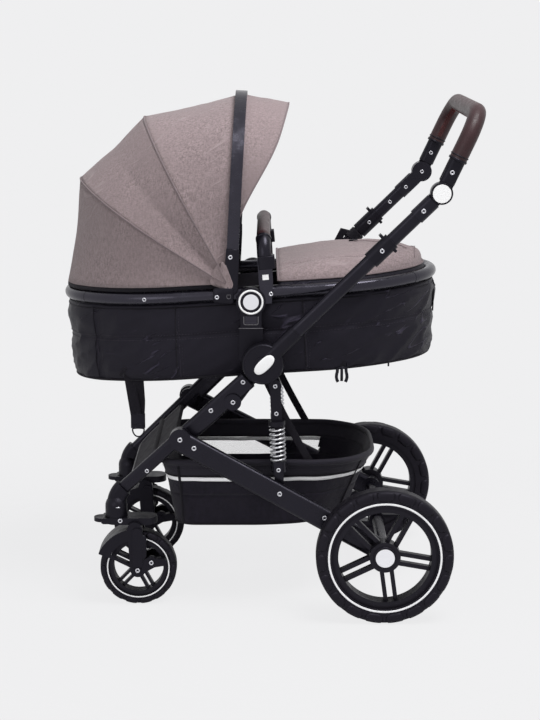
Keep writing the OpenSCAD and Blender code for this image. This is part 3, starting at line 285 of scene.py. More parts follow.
def steel(name, rgb, rough, brushed):
    """Bright metal with fine lines."""
    f = Finish(name, rough, metallic=1.0)
    lines = f.noise(brushed, 2, (1, 1, 9))
    colour = f.colours(lines, 0.3, 0.7, lin(rgb, 0.96), lin(rgb, 1.03))
    return f.finish(colour, f.noise(300, 3), [(lines, 0.004, 0.0003)], 0.03)


COOL = (0.84, 0.8, 1.0, 1.0)
TUBE = blacked("satin_black_coat", (13, 12, 18), 0.30, 1500, 0.08, 0.28)
SATIN = blacked("glossy_black_coat", (14, 13, 19), 0.24, 1500, 0.05, 0.55)
PLASTIC = blacked("black_plastic_grain", (11, 10, 15), 0.42, 1900, 0.2, 0.22)
RIM = blacked("rim_black_plastic", (14, 13, 17), 0.40, 1300, 0.14, 0.25)
RUBBER = blacked("tyre_rubber", (17, 15, 20), 0.5, 900, 0.16, 0.2)
SPRING = moulded("bright_spring_wire", (196, 196, 200), 0.28, 900, 0.06, metallic=0.9)
SILVER = steel("brushed_silver", (236, 236, 240), 0.24, 700)
SCREW = steel("screw_steel", (196, 196, 202), 0.28, 1500)
WHITE = moulded("white_plastic", (252, 252, 253), 0.4, 1200, 0.0, clouds=0.01)
STRIPE = moulded("reflective_tape", (250, 250, 252), 0.42, 2600, 0.2, clouds=0.02)
LEATHER = leather("brown_black_leather", (50, 29, 32))
STITCH = cloth("stitch_thread", (92, 42, 40), 2600, 0.2, 0.8, 0.3, 0.1)
SEAM = cloth("black_thread", (52, 48, 58), 2600, 0.2, 0.8, 0.3, 0.1)
# slack: crease scale, turn, a lighter colour painted along crease ridges as a highlight, and the crease
# bump strength
TAUPE = cloth("taupe_melange", (150, 134, 136), 400, 0.42, 0.9, 0.6, 0.2,
              slack=(16, 35, lin((160, 144, 146)), 0.4))
TAUPE_DARK = cloth("taupe_binding", (128, 114, 117), 620, 0.16, 0.9, 0.4, 0.2)
LINING = cloth("hood_lining", (70, 64, 70), 520, 0.1)
# slack: crease scale, turn, a lighter colour painted along crease ridges as a highlight, and the crease
# bump strength
BLACK_CLOTH = cloth("black_cot_cloth", (15, 13, 20), 520, 0.18, 0.5, 0.2, 0.03, gloss=0.22,
                    slack=(24, 28, lin((58, 54, 68)), 1.0))
BLACK_LINING = cloth("cot_lining", (40, 37, 44), 520, 0.1)
BASKET = cloth("basket_cloth", (24, 22, 28), 560, 0.16, 0.6, 0.35, 0.05, gloss=0.3)
NET = cloth("basket_mesh", (26, 23, 32), 240, 0.6, 0.65, 0.8, 0.05, gloss=0.2)
OPEN_NET = cloth("basket_open_net", (52, 49, 56), 560, 0.1, 0.8, 0.2, 0.2, alpha=(190, 0.30))
WEBBING = cloth("black_webbing", (22, 20, 25), 900, 0.2, 0.75, 0.6, 0.05, gloss=0.18)
MATTRESS = cloth("mattress_cover", (214, 210, 206), 480, 0.06, 0.9, 0.35, 0.2)
PANEL = moulded("footboard_panel", (34, 32, 38), 0.72, 700, 0.3, specular_ior_level=0.1)
LOCK_GREY = moulded("grey_lock_plastic", (92, 90, 95), 0.5, 1500, 0.2)


# Meshes as (points in mm, faces)
FORE, ACROSS, UP = (1, 0, 0), (0, 1, 0), (0, 0, 1)


def sheet_of(rows, loop=False, caps=False):
    """Faces between rows of points, closed round and at both ends where asked."""
    count = len(rows[0])
    points = [p for row in rows for p in row]
    faces = []
    for i in range(len(rows) - 1):
        for j in range(count if loop else count - 1):
            k = (j + 1) % count
            faces.append((i * count + j, i * count + k, (i + 1) * count + k, (i + 1) * count + j))
    if caps:
        faces.append(tuple(range(count))[::-1])
        faces.append(tuple(range((len(rows) - 1) * count, len(rows) * count)))
    return points, faces


def shut(rows):
    """A form of closed rings with both ends shut."""
    return sheet_of(rows, loop=True, caps=True)


def oval(width, thick, sides=10):
    """An oval section for a sweep."""
    return [(width / 2 * cosd(360 * i / sides), thick / 2 * sind(360 * i / sides)) for i in range(sides)]


def band(width, thick, rounded=0.35):
    """A flat section with rounded corners for a sweep."""
    r = thick * rounded
    out = []
    for cx, cy, start in ((1, 1, 0), (-1, 1, 90), (-1, -1, 180), (1, -1, 270)):
        for k in (0, 45, 90):
            a = start + k
            out.append((cx * (width / 2 - r) + r * cosd(a), cy * (thick / 2 - r) + r * sind(a)))
    return out


def tube(path, profile, up=None, closed=False):
    """A section swept along a line; up holds the section's second axis where it is given."""
    pts = [Vector(p) for p in path]
    count = len(pts)
    rows = []
    side = None
    for i, p in enumerate(pts):
        ahead = pts[(i + 1) % count] if closed else pts[min(i + 1, count - 1)]
        behind = pts[i - 1] if closed else pts[max(i - 1, 0)]
        way = (ahead - behind).normalized()
        if up is not None:
            side = way.cross(Vector(up)).normalized()
        elif side is None:
            side = way.orthogonal().normalized()
        else:
            side = (side - way * side.dot(way)).normalized()
        lift = side.cross(way)
        rows.append([p + side * a + lift * b for a, b in profile])
    if closed:
        rows.append(rows[0])
        return sheet_of(rows, loop=True)
    return shut(rows)


def turned(section, at, axis, sides):
    """Rows of a section, as (radius, height) pairs, turned about an axis at a point."""
    axis = Vector(axis).normalized()
    side = axis.orthogonal().normalized()
    other = axis.cross(side)
    return [[Vector(at) + axis * h + (side * cosd(360 * i / sides) + other * sind(360 * i / sides)) * r
             for i in range(sides)] for r, h in section]


def lathe(section, at, axis, sides):
    return shut(turned(section, at, axis, sides))


def shifted(base, pairs, y=0.0, grow=1.0):
    """Points at (x, z) steps from a point, y mm across."""
    return [Vector(base) + Vector((dx * grow, y, dz * grow)) for dx, dz in pairs]


def ring(r_in, r_out, height, at, axis, sides):
    """A flat ring with softened edges, closed on itself."""
    mid = (r_out - r_in) / 5
    section = ((r_in, 0), (r_out, 0), (r_out, height * 0.6), (r_out - mid, height), (r_in + mid, height),
               (r_in, height * 0.6), (r_in, 0))
    return sheet_of(turned(section, at, axis, sides), loop=True)


def piece(name, parts, mat, body=None, solid=0.0, away=None, inside=None):
    """Joins parts to one object that rides on a body, with a thickness in mm where it is a sheet."""
    points, faces = [], []
    for part_points, part_faces in parts:
        base = len(points)
        points += [tuple(c * MM for c in p) for p in part_points]
        faces += [tuple(base + k for k in face) for face in part_faces]
    mesh = bpy.data.meshes.new(name)
    mesh.from_pydata(points, [], faces)
    work = bmesh.new()
    work.from_mesh(mesh)
    bmesh.ops.remove_doubles(work, verts=work.verts, dist=1e-6)
    bmesh.ops.dissolve_degenerate(work, edges=work.edges, dist=1e-6)
    bmesh.ops.recalc_face_normals(work, faces=work.faces)
    if away is not None:
        centre = Vector(away) * MM
        if sum(f.normal.dot(f.calc_center_median() - centre) * f.calc_area() for f in work.faces) < 0:
            bmesh.ops.reverse_faces(work, faces=work.faces)
    work.to_mesh(mesh)
    work.free()
    mesh.polygons.foreach_set("use_smooth", [True] * len(mesh.polygons))
    mesh.materials.append(mat)
    if inside is not None:
        mesh.materials.append(inside)
    obj = bpy.data.objects.new(name, mesh)
    scene.collection.objects.link(obj)
    if solid:
        mod = obj.modifiers.new("thickness", "SOLIDIFY")
        mod.thickness = solid * MM
        mod.offset = -1.0 if away is not None else 0.0
        mod.material_offset = 1 if inside is not None else 0
    if body is not None:
        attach(obj, body)
    return obj


# Camera, floor and light
camera = bpy.data.objects.new("camera", bpy.data.cameras.new("camera"))
camera.location = (0.0034, -3.724, 1.290)
camera.rotation_euler = (math.radians(90 - 11.85), 0, 0)
camera.data.lens = 84.85
camera.data.sensor_width = 36
camera.data.sensor_fit = "AUTO"
camera.data.clip_end = 100
scene.collection.objects.link(camera)
scene.camera = camera
scene.view_settings.view_transform = "Standard"

SKY = lin((239, 239, 240))


def joined(tree, kind, *sources, **props):
    """The output of a node whose first inputs are linked to sources."""
    node = tree.nodes.new(kind)
    for key, value in props.items():
        setattr(node, key, value)
    for socket, source in zip(node.inputs, sources):
        tree.links.new(source, socket)
    return node.outputs[0]


def backdrop_world():
    """Even light, and a plain backdrop wherever the camera or a mirror looks."""
    world = bpy.data.worlds.new("studio")
    world.use_nodes = True
    tree = world.node_tree
    light = tree.nodes["Background"]
    light.inputs["Color"].default_value = (1, 1, 1, 1)
    light.inputs["Strength"].default_value = 0.46
    seen = tree.nodes.new("ShaderNodeBackground")
    seen.inputs["Color"].default_value = SKY
    rays = tree.nodes.new("ShaderNodeLightPath").outputs
    glossy, through, eye = (rays["Is %s Ray" % kind] for kind in ("Glossy", "Transmission", "Camera"))
    shiny = joined(tree, "ShaderNodeMath", glossy, through, operation="MAXIMUM")
    either = joined(tree, "ShaderNodeMath", eye, shiny, operation="MAXIMUM")
    mix = joined(tree, "ShaderNodeMixShader", either, light.outputs[0], seen.outputs[0])
    tree.links.new(mix, tree.nodes["World Output"].inputs["Surface"])
    scene.world = world


backdrop_world()
FLOOR_REACH = 3.6


def pale_floor():
    """A pale floor that keeps the soft shadow and fades into the backdrop."""
    f = Finish("pale_floor", 0.9)
    f.finish(f.colours(f.noise(3, 2), 0.2, 0.8, lin((236, 236, 237)), lin((238, 238, 239))), f.noise(40, 2))
    glow = f.add("ShaderNodeEmission", [("Color", SKY)])
    rays = f.add("ShaderNodeLightPath")
    by_eye = f.sum("MULTIPLY", rays.outputs["Is Camera Ray"], 0.92)
    shown = joined(f.tree, "ShaderNodeMixShader", by_eye, f.shader.outputs[0], glow.outputs[0])
    far = f.add("ShaderNodeVectorMath", operation="LENGTH")
    f.link(f.coord, far.inputs[0])
    clear = f.add("ShaderNodeBsdfTransparent").outputs[0]
    faded = joined(f.tree, "ShaderNodeMixShader", f.ranged(far.outputs["Value"], 0.7, 1.5), shown, clear)
    f.link(faded, f.tree.nodes["Material Output"].inputs["Surface"])
    mesh = bpy.data.meshes.new("floor")
    steps = [lerp(-FLOOR_REACH, FLOOR_REACH, i / 8) for i in range(9)]
    mesh.from_pydata([(x, y, -0.0008) for y in steps for x in steps], [],
                     sheet_of([[(0, 0, 0)] * 9] * 9)[1])
    mesh.materials.append(f.mat)
    obj = bpy.data.objects.new("floor", mesh)
    scene.collection.objects.link(obj)


pale_floor()


def lamp(name, at, look, size, power):
    data = bpy.data.lights.new(name, "AREA")
    data.shape = "DISK"
    data.size = size
    data.energy = power
    obj = bpy.data.objects.new(name, data)
    obj.location = at
    obj.rotation_euler = (Vector(look) - Vector(at)).to_track_quat("-Z", "Y").to_euler()
    scene.collection.objects.link(obj)


lamp("key", (0.9, -0.9, 3.1), (0, 0, 0.6), 1.5, 72)
lamp("fill", (-1.6, -3.2, 1.5), (0, 0, 0.5), 2.2, 20)

# Shown CAD nodes
NODE_FINISH = {
    "front_leg": TUBE, "rear_leg": TUBE, "handle_tube": TUBE, "rear_axle": TUBE, "strut_rod": TUBE,
    "cot_rail": SATIN, "hood_bow": SATIN, "release_lever": SATIN, "rear_rim": RIM, "front_rim": RIM,
    "rear_tyre": RUBBER, "front_tyre": RUBBER, "rear_hub_cap": SILVER, "hub_button": SILVER,
    "joint_button": WHITE, "bumper_button": WHITE, "handle_grip": LEATHER, "bumper_bar": LEATHER,
    "footboard": PANEL}


def node_finish(name):
    """The material of a CAD node, by how its name starts."""
    for key, mat in NODE_FINISH.items():
        if name.startswith(key):
            return mat
    return PLASTIC


for node_name, node_obj in NODES.items():
    node_obj.data.materials.clear()
    node_obj.data.materials.append(node_finish(node_name))

trees = {}


def surface(names, x, z, side, inner=False):
    """Where a line from outside, or from the middle, at (x, z) first meets a node (mm), and its facing."""
    best = None
    for name in names:
        if name not in trees:
            mesh = NODES[name].data
            trees[name] = BVHTree.FromPolygons([v.co.copy() for v in mesh.vertices],
                                               [tuple(p.vertices) for p in mesh.polygons])
        start = Vector((x * MM, 0 if inner else side, z * MM))
        hit, normal, _, _ = trees[name].ray_cast(start, Vector((0, side if inner else -side, 0)))
        if hit is not None and (best is None or (abs(hit.y) < abs(best[0].y)) == inner):
            best = (hit, normal)
    if best is None:
        return None
    hit, normal = best
    if (normal.y * side < 0) != inner:
        normal = -normal
    return hit / MM, normal


SCREW_HIGH = 1.2


def screw(at, axis, r):
    """A round head with a chamfer and a sunk drive."""
    high = SCREW_HIGH
    return lathe(((r, -0.8), (r, high * 0.55), (r * 0.86, high), (r * 0.5, high), (r * 0.46, high * 0.2),
                  (r * 0.05, high * 0.1)), at, axis, 24)


def drive(at, axis, r):
    """A dark hexagon that fills the drive of a screw: painted shade in the recess."""
    high = SCREW_HIGH
    return lathe(((r * 0.44, 0), (r * 0.44, high * 0.62), (r * 0.3, high * 0.66), (r * 0.1, high * 0.5)),
                 at, axis, 6)


# Carrycot frame and plan curves
COT_AT = (-40.1, 692.4)
COT_TILT = 3.4
RAIL_W, RAIL_S, RAIL_E, RAIL_R, RAIL_D = 188, 155, 243, 150, 26


def cot(x, y, z):
    """A point of the tilted carrycot in the frame of the part (mm)."""
    return (COT_AT[0] + x * cosd(COT_TILT) - z * sind(COT_TILT), y,
            COT_AT[1] + x * sind(COT_TILT) + z * cosd(COT_TILT))


def side_arc(w, e, r):
    """The radius of the long side arc, and the angle at which the end's arc takes over."""
    big = (e * e + w * w - 2 * e * r) / (2 * (w - r))
    return big, math.degrees(math.atan2(big - w, e - r))


def arch(w, s, e, r, n=16):
    """A plan line from one side round an end to the other side."""
    big, turn = side_arc(w, e, r)
    near = [(s + big * cosd(lerp(90, turn, i / n)), w - big + big * sind(lerp(90, turn, i / n)))
            for i in range(n + 1)]
    near += [(s + e - r + r * cosd(lerp(turn, 0, i / n)), r * sind(lerp(turn, 0, i / n)))
             for i in range(1, n + 1)]
    return near + [(x, -y) for x, y in near[-2::-1]]


def plan_loop(w, s, foot, head, r, count):
    """A closed plan line of evenly spaced points that starts at the middle of the +Y side."""
    ahead = arch(w, s, foot, r)
    back = [(-x, -y) for x, y in arch(w, s, head, r)]
    pts = resample([(x, y, 0) for x, y in [(0, w)] + ahead + [(0, -w)] + back], count, True)
    return [(p.x, p.y) for p in pts]


COT_TOP, COT_DEEP, COT_WALL = -14.8, 167.5, 6


def cot_ring(inset, share, lift, count):
    """A plain ring of the carrycot, share of the way down from the rail to its base."""
    k = share ** 3
    ring_plan = plan_loop(RAIL_W - 3 - inset - 12 * k, RAIL_S - RAIL_D,
                          RAIL_E + 31 - inset - 17 * share, RAIL_E + 31 - inset - 5 * share,
                          RAIL_R - inset - 12 * k, count)
    return [(x, y, lift + COT_TOP - (COT_DEEP + 6 * max(0, -x) / (RAIL_S + RAIL_E)) * share)
            for x, y in ring_plan]


# Carrycot body
COT_COUNT = 300
SEAM_X = (-331, -156.5, 116)
SEAM_SHARE = 0.42
COT_SHARES = [0, 0.03, 0.07, 0.12, 0.18, 0.24, 0.3, 0.35, 0.385, 0.41, 0.42, 0.43, 0.455, 0.5, 0.56, 0.62,
              0.68, 0.74, 0.8, 0.85, 0.9, 0.94, 0.97]


def outward(ring_points):
    """The way out, in plan, at each point of a ring."""
    count = len(ring_points)
    out = []
    for i in range(count):
        a, b = ring_points[i - 1], ring_points[(i + 1) % count]
        dx, dy = b[0] - a[0], b[1] - a[1]
        length = math.hypot(dx, dy) or 1
        out.append((-dy / length, dx / length))
    if out[0][1] * ring_points[0][1] < 0:
        out = [(-x, -y) for x, y in out]
    return out


def cot_swell(x, y, share):
    """How far the padded wall stands proud of its plain form: pads between seams, and soft creases."""
    rows = min(abs(share - s) for s in (0.0, SEAM_SHARE, 1.0)) * COT_DEEP
    cols = min(abs(x - s) for s in SEAM_X) if abs(y) > 60 else 80
    pad = 3.0 * smooth(rows / 34) * (0.45 + 0.55 * smooth(cols / 40))
    dip = -1.6 * math.exp(-(rows / 3.2) ** 2) * (1 if 0.3 < share < 0.6 else 0)
    dip -= 1.8 * math.exp(-(cols / 4.0) ** 2)
    slack = smooth((x - 60) / 120) * 1.6 + smooth((-165 - x) / 60) * 1.3 + 0.9
    z = -share * COT_DEEP
    crease = ripple((x * 0.45 + z * 0.8, y * 0.5, z * 0.35 - x * 0.25), 26) * slack
    fold = (1 - abs(ripple((x * 0.5 - z * 0.9, y * 0.4, z * 0.3 + x * 0.2), 30, 7.3))) ** 4
    return pad + dip + (crease * 0.6 + fold * 2.4 * slack) * smooth(share * 9) * smooth((1 - share) * 14)


def cot_skin(inset, shares, swell=True, count=COT_COUNT):
    """Rings of the padded wall in the frame of the carrycot."""
    rows = []
    for share in shares:
        flat_ring = cot_ring(inset, share, 0, count)
        row = []
        for (x, y, z), (nx, ny) in zip(flat_ring, outward(flat_ring)):
            d = cot_swell(x, y, share) if swell else 0.0
            row.append((x + nx * d, y + ny * d, z))
        rows.append(row)
    return rows


def wall_near(x, row, side):
    """The point of a wall's row that lies nearest to x on one side."""
    return min((p for p in row if p[1] * side > 0), key=lambda p: abs(p[0] - x))


def placed(rows):
    return [[cot(*p) for p in row] for row in rows]


wall_rows = cot_skin(0, COT_SHARES)
low_rows = [cot_ring(4, 0.99, 0, COT_COUNT), cot_ring(14, 1.0, 0, COT_COUNT)]
cot_wall = piece("cot_wall", [sheet_of(placed(wall_rows + low_rows), loop=True)], BLACK_CLOTH, "cot",
                 solid=2.0, away=cot(0, 0, -90), inside=BLACK_LINING)
cot_base_ring = placed([cot_ring(14, 1.0, 0.6, 120), cot_ring(14, 1.0, 4, 120)])
piece("cot_base", [shut(cot_base_ring)], BLACK_LINING, "cot")
lining_rows = [cot_ring(COT_WALL * t, 0.0, 0.2, COT_COUNT) for t in (0.35, 1.0)]
lining_rows += [cot_ring(COT_WALL, s, 0, COT_COUNT) for s in (0.04, 0.25, 0.5, 0.75, 0.9)]
lining_rows += [cot_ring(COT_WALL + 8, 0.985, 6, COT_COUNT)]
cot_lining = piece("cot_lining", [sheet_of(placed(lining_rows), loop=True)], BLACK_LINING, "cot",
                   solid=1.2)
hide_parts("cot_body")

hem_path = cot_skin(-1.0, [0.965], swell=False, count=160)[0]
top_path = cot_skin(-1.2, [0.05], swell=False, count=160)[0]
hem_parts = [tube([cot(*p) for p in hem_path], oval(5.5, 4.5, 8), closed=True),
             tube([cot(*p) for p in top_path], oval(3, 3, 6), closed=True)]
piece("cot_hem", hem_parts, WEBBING, "cot")


def cot_stitch_line(points, step=6.5):
    """Short thread marks along a line on the cloth."""
    run = [Vector(p) for p in points]
    total = sum((b - a).length for a, b in zip(run, run[1:]))
    line = resample(run, max(4, int(total / step) * 2))
    return [tube([a, a.lerp(b, 0.5), b], oval(1.0, 0.9, 5)) for a, b in zip(line[::2], line[1::2])]


stitch_parts = []
for offset in (-0.03, 0.03):
    for side, _ in SIDES:
        row = cot_skin(0.0, [SEAM_SHARE + offset])[0]
        line = [cot(x + nx * 0.4, y + ny * 0.4, z)
                for (x, y, z), (nx, ny) in zip(row, outward(row)) if y * side > 20]
        line.sort(key=lambda p: p[0])
        stitch_parts += cot_stitch_line(line)
for seam_x in SEAM_X:
    for side, _ in SIDES:
        line = []
        for share in (0.06, 0.15, 0.25, 0.35, 0.45, 0.55, 0.65, 0.75, 0.85, 0.93):
            px, py, pz = wall_near(seam_x + 4, cot_skin(0.0, [share])[0], side)
            line.append(cot(px, py + side * 0.5, pz))
        stitch_parts += cot_stitch_line(line)
piece("cot_stitches", stitch_parts, SEAM, "cot")

# Mattress
MAT_EDGE = (1, 0.55, 0.15, 0, 0.15, 0.6, 1.3, 3.0, 5.5, 8.2)
MAT_RISE = (0, 0.1, 0.25, 0.5, 0.75, 0.9, 0.98, 1.04, 1.09, 1.11)
MAT_INSET, MAT_LIFT, MAT_HIGH = 22, 10.6, 32
mat_rows = [cot_ring(MAT_INSET + 12 * e, 1, MAT_LIFT + MAT_HIGH * r, 160)
            for e, r in zip(MAT_EDGE, MAT_RISE)]
mattress = piece("mattress_pad", [shut(placed(mat_rows))], MATTRESS, None)


def inflate(obj, voxel, pressure, most):
    """Swells a closed pad with cloth under pressure; no point moves further than most (mm)."""
    view = bpy.context.view_layer
    for other in scene.objects:
        other.select_set(False)
    obj.select_set(True)
    view.objects.active = obj
    obj.data.remesh_voxel_size = voxel * MM
    bpy.ops.object.voxel_remesh()
    start = [v.co.copy() for v in obj.data.vertices]
    mod = obj.modifiers.new("pad", "CLOTH")
    mod.settings.use_pressure = True
    mod.settings.uniform_pressure_force = pressure
    mod.settings.effector_weights.gravity = 0.0
    mod.settings.quality = 4
    mod.settings.tension_stiffness = 20
    mod.settings.bending_stiffness = 2
    for number in range(1, 21):
        scene.frame_set(number)
    shaped = obj.evaluated_get(bpy.context.evaluated_depsgraph_get()).data
    ends = [v.co.copy() for v in shaped.vertices]
    obj.modifiers.remove(mod)
    scene.frame_set(1)
    for vertex, a, b in zip(obj.data.vertices, start, ends):
        move = b - a
        if move.length > most * MM:
            move *= most * MM / move.length
        vertex.co = a + move
    obj.data.polygons.foreach_set("use_smooth", [True] * len(obj.data.polygons))


inflate(mattress, 9, 3.0, 4)
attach(mattress, "cot")
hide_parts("mattress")
mat_edge = placed([cot_ring(MAT_INSET - 0.4, 1, MAT_LIFT + MAT_HIGH * 0.5, 200)])[0]
piece("mattress_piping", [tube(mat_edge, oval(3.4, 3.4, 6), closed=True)], MATTRESS, "cot")

# Hood
HOOD = (-38, 15)
CLOTH_W, CLOTH_R, HOOD_S, HOOD_TIP = 202.3, 394.8, 160, 150
VISOR, BOW, MID, REAR, BASE = 68.4, 83.6, 115.6, 144, 180
BASE_R = 366.5
HOOD_COUNT = 97
VISOR_FROM, PANEL_FROM = 112, 17
IN_HOOD = cot(HOOD[0] - 60, 0, HOOD[1] + 60)


def chord(a, a0, r0, a1, r1):
    """How far a straight line between two ribs is from the axis at an angle."""
    return r0 * r1 * sind(a1 - a0) / (r0 * sind(a - a0) + r1 * sind(a1 - a))


def hood_reach(a):
    """How far the cloth is from the axis of the hood, taut from rib to rib."""
    if a <= BOW:
        return CLOTH_R
    if a <= MID:
        return chord(a, BOW, CLOTH_R, MID, CLOTH_R)
    if a <= REAR:
        return chord(a, MID, CLOTH_R, REAR, CLOTH_R)
    return chord(a, REAR, CLOTH_R, BASE, BASE_R)


def visor_angle(reach):
    """The front edge of the visor runs down to the bow."""
    return lerp(BOW, VISOR, sind(90 * min(1.0, max(0.0, (reach - VISOR_FROM) / 225))))


def hood_row(a, inset, front=False):
    """The cloth's arch at an angle about the hood's axis, as points in the cot's frame."""
    t = max(0, (a - REAR) / (BASE - REAR))
    half = lerp(CLOTH_W, RAIL_W + 6.5, t) - inset
    straight = lerp(HOOD_S, RAIL_S + HOOD[0], t)
    begin = VISOR_FROM if front else PANEL_FROM
    start = max(straight, begin)
    curve = arch(half, start, hood_reach(a) - inset - start, HOOD_TIP - inset)
    line = [(begin, half, 0)] + [(r, y, 0) for r, y in curve] + [(begin, -half, 0)]
    return [Vector((HOOD[0] + p.x * cosd(a), p.y, HOOD[1] + p.x * sind(a)))
            for p in resample(line, HOOD_COUNT)]


def hood_sag(kind, u, p, fall):
    """How far the cloth falls in between two ribs."""
    edge = min(1.0, fall / 110)
    flank = lerp(0.3, 1.0, smooth((abs(p.y) - 60) / 130))
    arc = math.sin(math.pi * u)
    wave = ripple((p.x, p.y, p.z), 60, 2.0) * 1.6 + ripple((p.x * 1.4, p.y, p.z * 0.6), 27, 5.0) * 0.7
    if kind == "valley":
        deep = 13.0 * (1 - abs(2 * u - 1)) * flank
        wave += 1.5 * math.exp(-((2 * u - 1) / 0.12) ** 2) * ripple((p.x, p.y, p.z), 16, 11.0)
    elif kind == "base":
        deep = 5.0 * arc
    else:
        deep = 3.5 * arc
    return deep * smooth(edge) + wave * arc * edge


def hood_panel(name, a0, a1, kind, steps=18, front=False, stop=None):
    """One panel of the hood from a rib to the next, or to an angle of its own in each column."""
    rows = []
    for i in range(steps + 1):
        u = i / steps
        row = []
        spans = {}
        for j in range(HOOD_COUNT):
            a = lerp(a0, stop[j] if stop else a1, u)
            key = round(a, 4)
            if key not in spans:
                spans[key] = (hood_row(a, 0, front), hood_row(a, 3, front))
            outer, inner = spans[key][0][j], spans[key][1][j]
            fall = (outer - Vector((HOOD[0], outer.y, HOOD[1]))).length
            way = (inner - outer).normalized()
            row.append(outer + way * hood_sag(kind, u, outer, fall))
        rows.append([cot(*p) for p in row])
    return piece(name, [sheet_of(rows)], TAUPE, None, solid=2.2, away=IN_HOOD,
                 inside=LINING)


def hem_angles(height):
    """For each column of the base panel, the angle at which it is a height above the hood's axis."""
    angles = [lerp(REAR, BASE, i / 48) for i in range(49)]
    table = [(a, hood_row(a, 0)) for a in angles]
    out = []
    for j in range(HOOD_COUNT):
        most = table[0][1][j].z - HOOD[1]
        goal = min(height, most * 0.5)
        found = BASE
        for (a, ra), (b, rb) in zip(table, table[1:]):
            za, zb = ra[j].z - HOOD[1], rb[j].z - HOOD[1]
            if za >= goal >= zb:
                found = lerp(a, b, (za - goal) / (za - zb) if za != zb else 0)
        out.append(found)
    return out


hem_stop = hem_angles(9)
hood_base = hood_panel("hood_base_panel", REAR, BASE, "base", 14, stop=hem_stop)
hood_back = hood_panel("hood_rear_panel", MID, REAR, "valley", 20)
hood_front = hood_panel("hood_front_panel", BOW, MID, "soft", 20)
visor_edge = [visor_angle((p - Vector((HOOD[0], p.y, HOOD[1]))).length) for p in hood_row(BOW, 0, True)]
hood_visor = hood_panel("hood_visor", BOW, VISOR, "soft", 10, front=True, stop=visor_edge)
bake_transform(hood_base)
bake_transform(hood_back)
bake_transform(hood_front)
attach(hood_visor, "hood_front")
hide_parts("hood_fabric")

zip_rows = [[cot(*hood_row(lerp(stop, BASE, share), 1.0 - 0.8 * math.sin(math.pi * share))[j])
             for j, stop in enumerate(hem_stop)] for share in (0, 0.35, 0.7, 1)]
hood_zip = piece("hood_zip_band", [sheet_of(zip_rows)], WEBBING, "cot", solid=1.6,
                 away=IN_HOOD)
PIPING_IN = 0.4
visor_line = [cot(*hood_row(a, PIPING_IN, True)[j]) for j, a in enumerate(visor_edge)]
for rib_name, rib_body, line in (("mid", "hood_mid", [cot(*p) for p in hood_row(MID, PIPING_IN)]),
                                 ("rear", "hood_rear", [cot(*p) for p in hood_row(REAR, PIPING_IN)]),
                                 ("visor", "hood_front", visor_line)):
    piece("hood_piping_" + rib_name, [tube(line, oval(3.6, 3.6, 8))], TAUPE_DARK, rib_body)


def bow_spot(along, off, y):
    """A point in the bow's own frame: along it from the axis, and across it."""
    return Vector(cot(HOOD[0] + along * cosd(BOW) - off * sind(BOW), y,
                      HOOD[1] + along * sind(BOW) + off * cosd(BOW)))


# The rounded end of the cloth beside the axis of the hood, as a fan about a point
NOSE_AT, NOSE_R, NOSE_Y, NOSE_BACK = (-86.5, 714.5), 12.3, 213.6, -93
NOSE_TURN = range(-107, 253, 8)
NOSE_ROWS = ((1, 2.4), (1, 0.5), (0.97, 0.1), (0.85, 0), (0.65, 0), (0.4, 0), (0.15, 0), (0.02, 0))


def nose_reach(a):
    """The outline of the fan, as a distance at an angle."""
    if a <= 20:
        return NOSE_R
    fan = lerp(50, 36, min(1, max(0, (a - 95) / 60)))
    if a <= 95:
        return min(fan, NOSE_R / cosd(a - 20))
    return min(fan, NOSE_R / cosd(a - 253)) if a > 180 else fan


def nose_spot(side, a, share, sink):
    """A point of the fan, which falls from the bow's bracket to the cloth behind it."""
    r = nose_reach(a) * share
    x = NOSE_AT[0] + r * cosd(a)
    behind = NOSE_BACK - x
    fall = max(smooth(behind / 22), smooth((share - 0.5) / 0.5) * smooth(behind / 6))
    return Vector((x, side * (NOSE_Y - 10 * fall - sink), NOSE_AT[1] + r * sind(a)))


# Brackets beside the axis of the hood, clamps and clips on the rail
LUG_R, BRACKET_TOP = 14.5, 84
BRACKET = [(BRACKET_TOP, 13.4), (BRACKET_TOP, -13.4), (60, -LUG_R), (0, -LUG_R)]
BRACKET += [(-LUG_R * sind(a), -LUG_R * cosd(a)) for a in range(15, 180, 15)] + [(0, LUG_R), (60, LUG_R)]
BOW_FACE, BUMPER_MID = 213.0, 204
BRACKET_ROWS = ((1, 206), (1, 212.2), (0.96, BOW_FACE), (0.9, 213.1))
TONGUE = ((4, 6), (-5, 6), (-9, 3), (-9, -3), (-5, -6), (4, -6))
CLAMP = ((-17, -10), (-14, -14), (22, -17), (26, -13), (26, 12), (22, 16), (-13, 16), (-17, 12))
CLAMP_ROWS = ((1, 0), (1, 6.6), (0.95, 7.6), (0.3, 7.7))
BUTTON_MARK = ((12, 2), (12, -3), (13.2, -5.4), (16, -6.4), (18.8, -5.4), (20, -3), (20, 2), (12, 2))
